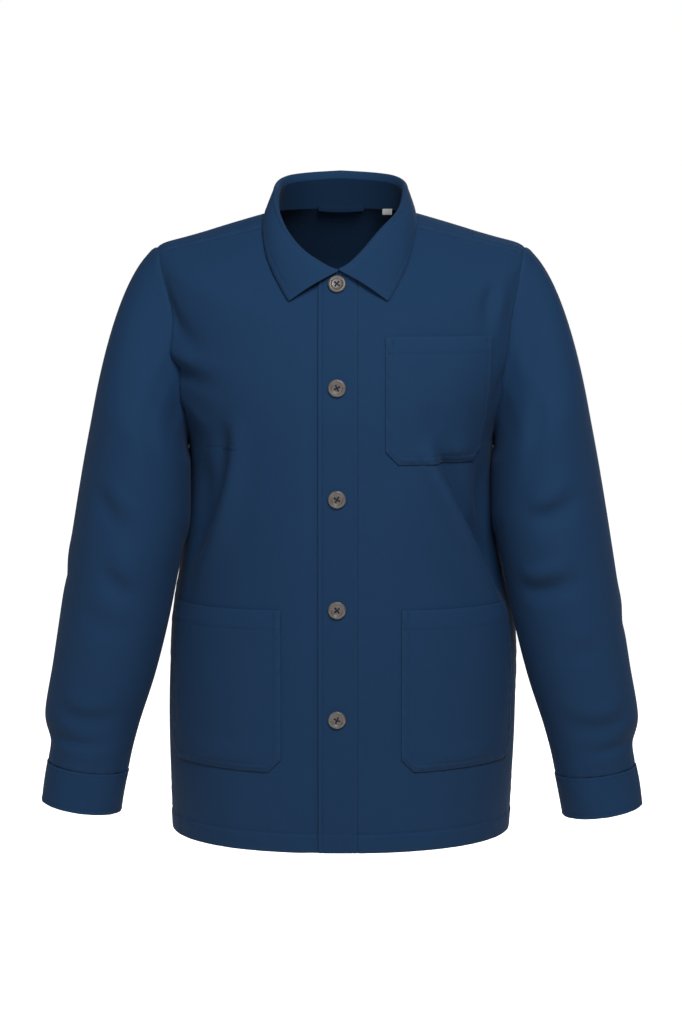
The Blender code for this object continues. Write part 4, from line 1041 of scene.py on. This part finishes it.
spread = np.linspace(0.5, -0.5, 19)[None, :] * LABEL_WIDTH / NECK_RADIUS
label_seam = on_body(math.radians(LABEL_ANGLE) + spread, np.full_like(spread, NECK))
drop = np.linspace(0.0, 1.0, 13)[:, None]
inward = -unit(label_seam * np.array([1.0, 1.0, 0.0]))
hang = (CAD_CLOTH / 2 + CAD_GAP + LABEL_THICK / 2 + LABEL_CLEAR
        + 0.0006 * drop + 0.0004 * np.sin(math.pi * drop))
label_grid = label_seam + inward * hang[..., None]
label_grid[..., 2] = label_seam[..., 2].mean() - drop * LABEL_HEIGHT
label_piece = lay_cloth("blank_neck_label", label_grid, LABEL_THICK, label_cloth(),
                        np.zeros(label_grid.shape[:2]), rim=0.0002)
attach(label_piece, "root")
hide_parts("neck_label")


# ------------------------------------------------------------------ topstitching
# Tonal cotton thread, about three stitches to the centimetre, sunk into the cloth along the pockets, band,
# hem and cuffs.  Each stitch is a short bead that dives at both ends.
STITCH_PITCH = 0.0034
STITCH_LENGTH = 0.0027
THREAD_RADIUS = 0.00027
THREAD = (0.0096, 0.042, 0.112)


def thread_cotton():
    """Twisted cotton thread: a fine mottle along it, slightly lighter than the cloth."""
    material = bpy.data.materials.new("cotton_thread")
    material.use_nodes = True
    tree = material.node_tree
    shader = tree.nodes["Principled BSDF"]
    place = add_node(tree, "ShaderNodeTexCoord")
    fuzz = noise(tree, place.outputs["Object"], 1800.0, 2.0)
    colour = mix_colours(tree, fuzz, tuple(0.75 * v for v in THREAD), tuple(1.5 * v for v in THREAD))
    tree.links.new(colour, shader.inputs["Base Color"])
    shader.inputs["Roughness"].default_value = 0.85
    shader.inputs["Specular IOR Level"].default_value = 0.15
    return material


cotton_thread = thread_cotton()


def sample_grid(grid, rows, columns):
    """Points and outward directions at fractional places on a grid, blended from the four corners."""
    round_it = np.gradient(grid, axis=1)
    up_it = np.gradient(grid, axis=0)
    normals = unit(np.cross(round_it, up_it))
    rows = np.clip(rows, 0, grid.shape[0] - 1.001)
    columns = np.clip(columns, 0, grid.shape[1] - 1.001)
    r, c = rows.astype(int), columns.astype(int)
    a, b = (rows - r)[:, None], (columns - c)[:, None]
    blended = []
    for field in (grid, normals):
        near_row = field[r, c] * (1 - b) + field[r, c + 1] * b
        far_row = field[r + 1, c] * (1 - b) + field[r + 1, c + 1] * b
        blended.append(near_row * (1 - a) + far_row * a)
    return blended[0], unit(blended[1])


def stitch_run(points, normals, lift):
    """Stitches along a path: each is six sides by four rings, thick in the middle and sunk at its ends."""
    length = np.concatenate([[0.0], np.cumsum(np.linalg.norm(np.diff(points, axis=0), axis=-1))])
    middles = np.arange(STITCH_PITCH, length[-1] - STITCH_PITCH / 2, STITCH_PITCH)
    at = middles[:, None] + np.linspace(-0.5, 0.5, 4)[None, :] * STITCH_LENGTH
    centre = np.stack([np.interp(at, length, points[:, k]) for k in range(3)], axis=-1)
    normal = unit(np.stack([np.interp(at, length, normals[:, k]) for k in range(3)], axis=-1))
    along_it = unit(np.gradient(centre, axis=1))
    side_way = unit(np.cross(normal, along_it))
    sunk = np.array([-1.0, 0.35, 0.35, -1.0]) * THREAD_RADIUS
    radius = np.array([0.45, 1.0, 1.0, 0.45]) * THREAD_RADIUS
    turn = np.linspace(0.0, 2.0 * math.pi, 6, endpoint=False)
    ring = (normal[:, :, None] * np.sin(turn)[:, None] + side_way[:, :, None] * np.cos(turn)[:, None])
    body = (centre[:, :, None] + normal[:, :, None] * (lift + sunk)[:, None, None]
            + ring * radius[:, None, None])
    return body.reshape(-1, 24, 3)


def sew(name, runs):
    """One mesh of all the stitches of a group of runs, with closed ends."""
    beads = np.concatenate([run for run in runs if len(run)])
    k = np.arange(6)
    sides = [np.stack([r * 6 + k, r * 6 + (k + 1) % 6, (r + 1) * 6 + (k + 1) % 6, (r + 1) * 6 + k], axis=-1)
             for r in range(3)]
    caps = [np.array([[0, 5, 4, 3], [0, 3, 2, 1]]), np.array([[18, 19, 20, 21], [18, 21, 22, 23]])]
    template = np.concatenate(sides + caps)
    quads = (template[None] + np.arange(len(beads))[:, None, None] * 24).reshape(-1, 4)
    mesh = bpy.data.meshes.new(name)
    mesh.from_pydata(beads.reshape(-1, 3), [], quads)
    mesh.shade_smooth()
    mesh.materials.append(cotton_thread)
    piece = bpy.data.objects.new(name, mesh)
    bpy.context.scene.collection.objects.link(piece)
    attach(piece, "root")
    return piece


def body_run(far, height, lift):
    """A stitched path on the body through distances round and heights."""
    angle, level = place_on_body(far, height)
    return stitch_run(on_body(angle, level, lift), body_normal(angle, level), 0.0)


def level_run(far, run_levels, lift):
    """A stitched path on the body through distances round and ring levels."""
    angle = angle_at(far, run_levels)
    return stitch_run(on_body(angle, run_levels, lift), body_normal(angle, run_levels), 0.0)


def outline(points, spacing=0.002):
    """Points every couple of millimetres along a bent line."""
    points = np.array(points, float)
    length = np.concatenate([[0.0], np.cumsum(np.linalg.norm(np.diff(points, axis=0), axis=-1))])
    at = np.linspace(0.0, length[-1], int(length[-1] / spacing))
    return np.interp(at, length, points[:, 0]), np.interp(at, length, points[:, 1])


for name, (measures, side) in sewn_pockets.items():
    inner, outer, top, bottom, corner, lift, fall, bow, top_hem, inset = measures
    runs = []
    for gap in (inset, 0.0022):
        draw = corner + gap * math.tan(math.radians(22.5))
        far, height = outline([(inner + gap, top - 0.001), (inner + gap, bottom + draw),
                               (inner + draw, bottom + gap), (outer - draw, bottom + gap),
                               (outer - gap, bottom + draw), (outer - gap, top - 0.001)])
        at_edge = (lift - POCKET_SEAT) * math.exp(-(gap / SUNK_EDGE) ** 2)
        sunk = -0.0005 if gap == inset else -0.0004 - at_edge
        bowed = bow * np.sin(math.pi * (far - inner) / (outer - inner)) * smooth_step(gap / 0.03)
        runs.append(body_run(far * side, fallen(far, height, measures), lift + bowed + sunk + CLOTH / 2))
    far, height = outline([(inner + 0.001, top - top_hem), (outer - 0.001, top - top_hem)])
    bowed = bow * np.sin(math.pi * (far - inner) / (outer - inner))
    bowed *= smooth_step(np.minimum(far - inner, outer - far) / 0.03)
    proud = lift + bowed - 0.0005 + CLOTH / 2 + 0.0002
    runs.append(body_run(far * side, fallen(far, height, measures), proud))
    sew(f"stitching_{name}", runs)

hem_runs = []
for grid in (back_grid, left_grid, right_grid):
    row = np.argmin(np.abs(grid[:, grid.shape[1] // 2, 2] - (RINGS[0][0] + HEM_STITCH)))
    count = grid.shape[1] * 3
    points, normals = sample_grid(grid, np.full(count, float(row)),
                                  np.linspace(0.6, grid.shape[1] - 1.6, count))
    hem_runs.append(stitch_run(points, normals, CLOTH / 2))
sew("stitching_hem", hem_runs)

band_runs = []
for far in (BAND_EDGE + BAND_STITCH, BAND_OUTER - BAND_STITCH + 0.0025):
    run_levels = np.linspace(HEM, NECK - 0.05, 700)
    band_runs.append(level_run(np.full(700, far), run_levels, BAND_LIFT + DOUBLED / 2 - 0.0001))
sew("stitching_band", band_runs)

cuff_runs = []
for side in (1, -1):
    grid = np.concatenate([cuff_grids[side], cuff_grids[side][:, :1]], axis=1)
    down = run_lengths(grid, 0)[:, 0]
    for gap in (CUFF_STITCH, down[-1] - CUFF_STITCH):
        row = float(np.interp(gap, down, np.arange(len(down))))
        points, normals = sample_grid(grid, np.full(500, row), np.linspace(0.0, grid.shape[1] - 1.0, 500))
        cuff_runs.append(stitch_run(points, normals, CUFF_CLOTH / 2))
sew("stitching_cuffs", cuff_runs)


# ------------------------------------------------------------------ buttons
# Five four-hole buttons of mottled brown-grey resin, about 20 mm wide, with a raised rim round a dished
# middle, sewn through the band with dark thread in a cross.
BUTTON_RADIUS = 0.0101
BUTTON_HEIGHT = 0.0034
HOLE_RADIUS = 0.0010
HOLE_PITCH = 0.0044
BUTTON_LINE = -0.0045
STRAND_RADIUS, STRAND_PITCH = 0.00034, 0.00046
SHANK_RADIUS = 0.0026
DARK_THREAD = {"A": (0.014, 0.018, 0.030, 1.0), "B": (0.035, 0.042, 0.062, 1.0)}
BUTTON_HEIGHTS = (-0.0795, -0.195, -0.3195, -0.4455, -0.572)
SEAT = DOUBLED / 2 + BAND_LIFT + 0.0007
PROFILE = (
    (0.000, 0.60), (0.200, 0.60), (0.400, 0.605), (0.520, 0.62), (0.590, 0.68), (0.640, 0.82), (0.690, 0.94),
    (0.750, 1.00), (0.830, 1.00), (0.900, 0.95), (0.955, 0.84), (0.990, 0.66), (1.000, 0.48), (0.985, 0.30),
    (0.940, 0.14), (0.870, 0.04), (0.780, 0.00), (0.400, 0.00), (0.000, 0.00),
)


def button_resin():
    """Mottled resin: brown-grey clouds with pale streaks, a dull sheen and a thin clear coat."""
    material = bpy.data.materials.new("button_resin")
    material.use_nodes = True
    tree = material.node_tree
    shader = tree.nodes["Principled BSDF"]
    place = add_node(tree, "ShaderNodeTexCoord")
    stretch = add_node(tree, "ShaderNodeMapping")
    stretch.inputs["Scale"].default_value = (1.0, 1.0, 2.6)
    stretch.inputs["Rotation"].default_value = (0.0, 0.6, 0.0)
    tree.links.new(place.outputs["Object"], stretch.inputs["Vector"])
    clouds = noise(tree, stretch.outputs["Vector"], 170.0, 4.0, 0.6)
    streaks = noise(tree, stretch.outputs["Vector"], 620.0, 3.0, 0.7)
    colour = mix_colours(tree, clouds, (0.058, 0.049, 0.047), (0.180, 0.148, 0.132))
    above = math_node(tree, "MAXIMUM", math_node(tree, "SUBTRACT", streaks, 0.5), 0.0)
    pale = math_node(tree, "MULTIPLY", above, 1.2)
    colour = mix_colours(tree, pale, colour, (0.48, 0.43, 0.36))
    tree.links.new(colour, shader.inputs["Base Color"])
    rough = math_node(tree, "ADD", 0.26, math_node(tree, "MULTIPLY", streaks, 0.22))
    tree.links.new(rough, shader.inputs["Roughness"])
    relief = add_node(tree, "ShaderNodeBump", Strength=0.12, Distance=0.0002)
    tree.links.new(clouds, relief.inputs["Height"])
    tree.links.new(relief.outputs["Normal"], shader.inputs["Normal"])
    shader.inputs["Coat Weight"].default_value = 0.25
    shader.inputs["Coat Roughness"].default_value = 0.15
    return material


resin = button_resin()


def turned_button():
    """A profile of (radius, height) turned round its axis, poles closed, as quads and two fans."""
    sides = 72
    profile = np.array(PROFILE)[1:-1] * np.array([BUTTON_RADIUS, BUTTON_HEIGHT])
    turn = np.linspace(0.0, 2.0 * math.pi, sides, endpoint=False)
    rings = np.stack([profile[:, :1] * np.cos(turn), profile[:, :1] * np.sin(turn),
                      np.repeat(profile[:, 1:], sides, axis=1)], axis=-1)
    rows = len(profile)
    index = np.arange(rows)[:, None] * sides + np.arange(sides + 1)[None, :] % sides
    quads = np.stack([index[1:, :-1], index[1:, 1:], index[:-1, 1:], index[:-1, :-1]],
                     axis=-1).reshape(-1, 4)
    poles = np.array([[0.0, 0.0, PROFILE[0][1] * BUTTON_HEIGHT], [0.0, 0.0, 0.0]])
    top_fan = np.stack([index[0, :-1], index[0, 1:], np.full(sides, rows * sides)], axis=-1)
    foot_fan = np.stack([index[-1, 1:], index[-1, :-1], np.full(sides, rows * sides + 1)], axis=-1)
    mesh = bpy.data.meshes.new("button_turned")
    mesh.from_pydata(np.concatenate([rings.reshape(-1, 3), poles]), [],
                     quads.tolist() + top_fan.tolist() + foot_fan.tolist())
    return mesh


def hole_rods():
    """Four rods where the holes go."""
    turn = np.linspace(0.0, 2.0 * math.pi, 20, endpoint=False)
    circle = np.stack([np.cos(turn), np.sin(turn)], axis=-1) * HOLE_RADIUS
    points, faces = [], []
    for number, (x, y) in enumerate(((1, 1), (-1, 1), (-1, -1), (1, -1))):
        at = circle + np.array([x, y]) * HOLE_PITCH / 2
        for z in (-0.002, BUTTON_HEIGHT + 0.002):
            points.append(np.column_stack([at, np.full(20, z)]))
        base = number * 40
        faces.append((base + np.arange(20))[::-1].tolist())
        faces.append((base + 20 + np.arange(20)).tolist())
        k = np.arange(20)
        faces += np.stack([base + k, base + (k + 1) % 20, base + 20 + (k + 1) % 20, base + 20 + k],
                          axis=-1).tolist()
    mesh = bpy.data.meshes.new("button_holes")
    mesh.from_pydata(np.concatenate(points), [], faces)
    return mesh


def drilled_button():
    """The turned button with its four holes cut out, as one finished mesh."""
    blank = bpy.data.objects.new("button_blank", turned_button())
    rods = bpy.data.objects.new("button_rods", hole_rods())
    for item in (blank, rods):
        bpy.context.scene.collection.objects.link(item)
    cut = blank.modifiers.new("holes", "BOOLEAN")
    cut.object = rods
    bpy.context.view_layer.update()
    depsgraph = bpy.context.evaluated_depsgraph_get()
    mesh = bpy.data.meshes.new_from_object(blank.evaluated_get(depsgraph))
    for item in (blank, rods):
        bpy.data.objects.remove(item)
    mesh.shade_smooth()
    mesh.set_sharp_from_angle(angle=math.radians(48.0))
    return mesh


def thread_cross():
    """Two bars of three strands each that cross on the button, dive into its holes, and a shank below it:
    circles carried along arched paths."""
    turn = np.linspace(0.0, 2.0 * math.pi, 8, endpoint=False)
    steps = np.linspace(-1.0, 1.0, 13)
    points, quads = [], []
    base = 0
    reach = HOLE_PITCH / 2
    for slant in (1.0, -1.0):
        for strand in (-1.0, 0.0, 1.0):
            beside = strand * STRAND_PITCH
            lift = BUTTON_HEIGHT * 0.60 + 0.0003 + 0.00035 * (slant > 0)
            path = np.stack([steps * reach - beside * slant * 0.7, steps * reach * slant + beside * 0.7,
                             lift + 0.00035 * (1 - steps ** 2) - 0.0019 * np.abs(steps) ** 9], axis=-1)
            ahead = unit(np.gradient(path, axis=0))
            side_way = unit(np.cross(ahead, np.array([0.0, 0.0, 1.0])))
            up = np.cross(side_way, ahead)
            circle = side_way[:, None] * np.cos(turn)[:, None] + up[:, None] * np.sin(turn)[:, None]
            tube = path[:, None] + STRAND_RADIUS * circle
            points.append(tube.reshape(-1, 3))
            index = base + np.arange(13)[:, None] * 8 + np.arange(9)[None, :] % 8
            quads += np.stack([index[:-1, :-1], index[:-1, 1:], index[1:, 1:], index[1:, :-1]],
                              axis=-1).reshape(-1, 4).tolist()
            quads += [index[0, :-1][::-1].tolist(), index[-1, :-1].tolist()]
            base += 104
    shank = np.stack([SHANK_RADIUS * np.cos(turn), SHANK_RADIUS * np.sin(turn), np.zeros_like(turn)],
                     axis=-1)
    points += [shank - np.array([0.0, 0.0, 0.0009]), shank + np.array([0.0, 0.0, 0.0002])]
    k = np.arange(8)
    quads += np.stack([base + k, base + (k + 1) % 8, base + 8 + (k + 1) % 8, base + 8 + k], axis=-1).tolist()
    quads += [(base + k)[::-1].tolist(), (base + 8 + k).tolist()]
    mesh = bpy.data.meshes.new("thread_cross")
    mesh.from_pydata(np.concatenate(points), [], quads)
    mesh.shade_smooth()
    return mesh


dark_thread = cotton_thread.copy()
dark_thread.name = "dark_thread"
dark_shader = dark_thread.node_tree.nodes["Principled BSDF"]
for node in dark_thread.node_tree.nodes:
    if node.type == "MIX":
        for socket in node.inputs:
            if socket.type == "RGBA":
                socket.default_value = DARK_THREAD[socket.name]

drilled = drilled_button()
crossed = thread_cross()
for number, (height, spin) in enumerate(zip(BUTTON_HEIGHTS, (0.1, -0.35, 0.25, -0.1, 0.4)), start=1):
    level = np.array([level_at(height)])
    angle = angle_at(np.array([BUTTON_LINE]), level)
    centre = Vector(on_body(angle, level, SEAT)[0])
    facing = Vector(body_normal(angle, level)[0])
    turn = facing.to_track_quat("Z", "Y").to_matrix().to_4x4()
    turn.translation = centre
    for name, source, material, slot in ((f"resin_button_{number}", drilled, resin, "button"),
                                         (f"button_thread_{number}", crossed, dark_thread, "button")):
        mesh = source.copy()
        spun = np.array([[math.cos(spin), -math.sin(spin), 0, 0], [math.sin(spin), math.cos(spin), 0, 0],
                         [0, 0, 1, 0], [0, 0, 0, 1]])
        mesh.transform(turn @ type(turn)(spun.tolist()))
        mesh.materials.clear()
        mesh.materials.append(material)
        piece = bpy.data.objects.new(name, mesh)
        bpy.context.scene.collection.objects.link(piece)
        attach(piece, "root")
        if source is drilled:
            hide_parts(f"button_{number}")


# ------------------------------------------------------------------ studio
# A plain pale floor well below the jacket, broad soft light from the front, and a white surround.
FLOOR_HEIGHT = -1.25
CAMERA_AWAY = 2.90
CAMERA_TILT = 6.9
SENSOR_HEIGHT = 24.0
LENS = 57.67


def add_area(name, place, aim, size, power):
    """A large soft square light aimed at a point."""
    light = bpy.data.lights.new(name, "AREA")
    light.shape = "SQUARE"
    light.size = size
    light.energy = power
    lamp = bpy.data.objects.new(name, light)
    lamp.location = place
    lamp.rotation_euler = (Vector(aim) - Vector(place)).to_track_quat("-Z", "Y").to_euler()
    bpy.context.scene.collection.objects.link(lamp)


add_area("key", (0.6, -2.5, 1.6), (0.0, 0.0, -0.25), 1.2, 62.0)
add_area("fill", (-1.3, -3.0, 0.5), (0.0, 0.0, -0.35), 1.6, 17.0)
add_area("back", (0.6, 3.0, 1.0), (0.0, 0.0, -0.35), 2.0, 46.0)

floor_mesh = bpy.data.meshes.new("floor")
floor_mesh.from_pydata([(-9.0, -9.0, FLOOR_HEIGHT), (9.0, -9.0, FLOOR_HEIGHT), (9.0, 9.0, FLOOR_HEIGHT),
                        (-9.0, 9.0, FLOOR_HEIGHT)], [], [(0, 1, 2, 3)])
floor = bpy.data.objects.new("floor", floor_mesh)
bpy.context.scene.collection.objects.link(floor)
paint = bpy.data.materials.new("floor_paint")
paint.use_nodes = True
paint_shader = paint.node_tree.nodes["Principled BSDF"]
paint_shader.inputs["Base Color"].default_value = (0.9, 0.9, 0.9, 1.0)
paint_shader.inputs["Roughness"].default_value = 0.9
paint_shader.inputs["Emission Color"].default_value = (1.0, 1.0, 1.0, 1.0)
paint_shader.inputs["Emission Strength"].default_value = 1.0
floor_mesh.materials.append(paint)
floor.visible_diffuse = False

world = bpy.data.worlds.new("surround")
bpy.context.scene.world = world
world.use_nodes = True
tree = world.node_tree
seen = add_node(tree, "ShaderNodeBackground", Strength=1.0)
seen.inputs["Color"].default_value = (1.0, 1.0, 1.0, 1.0)
ambient = tree.nodes["Background"]
ambient.inputs["Color"].default_value = (0.93, 0.96, 1.0, 1.0)
ambient.inputs["Strength"].default_value = 0.10
path = add_node(tree, "ShaderNodeLightPath")
blend = add_node(tree, "ShaderNodeMixShader")
tree.links.new(path.outputs["Is Camera Ray"], blend.inputs[0])
tree.links.new(ambient.outputs[0], blend.inputs[1])
tree.links.new(seen.outputs[0], blend.inputs[2])
tree.links.new(blend.outputs[0], tree.nodes["World Output"].inputs["Surface"])

camera_data = bpy.data.cameras.new("camera")
camera_data.sensor_fit = "VERTICAL"
camera_data.sensor_height = SENSOR_HEIGHT
camera_data.lens = LENS
camera = bpy.data.objects.new("camera", camera_data)
camera.location = (0.0, -CAMERA_AWAY, 0.0)
camera.rotation_euler = (math.radians(90.0 - CAMERA_TILT), 0.0, 0.0)
bpy.context.scene.collection.objects.link(camera)
bpy.context.scene.camera = camera
bpy.context.scene.view_settings.view_transform = "Standard"

bpy.context.view_layer.update()
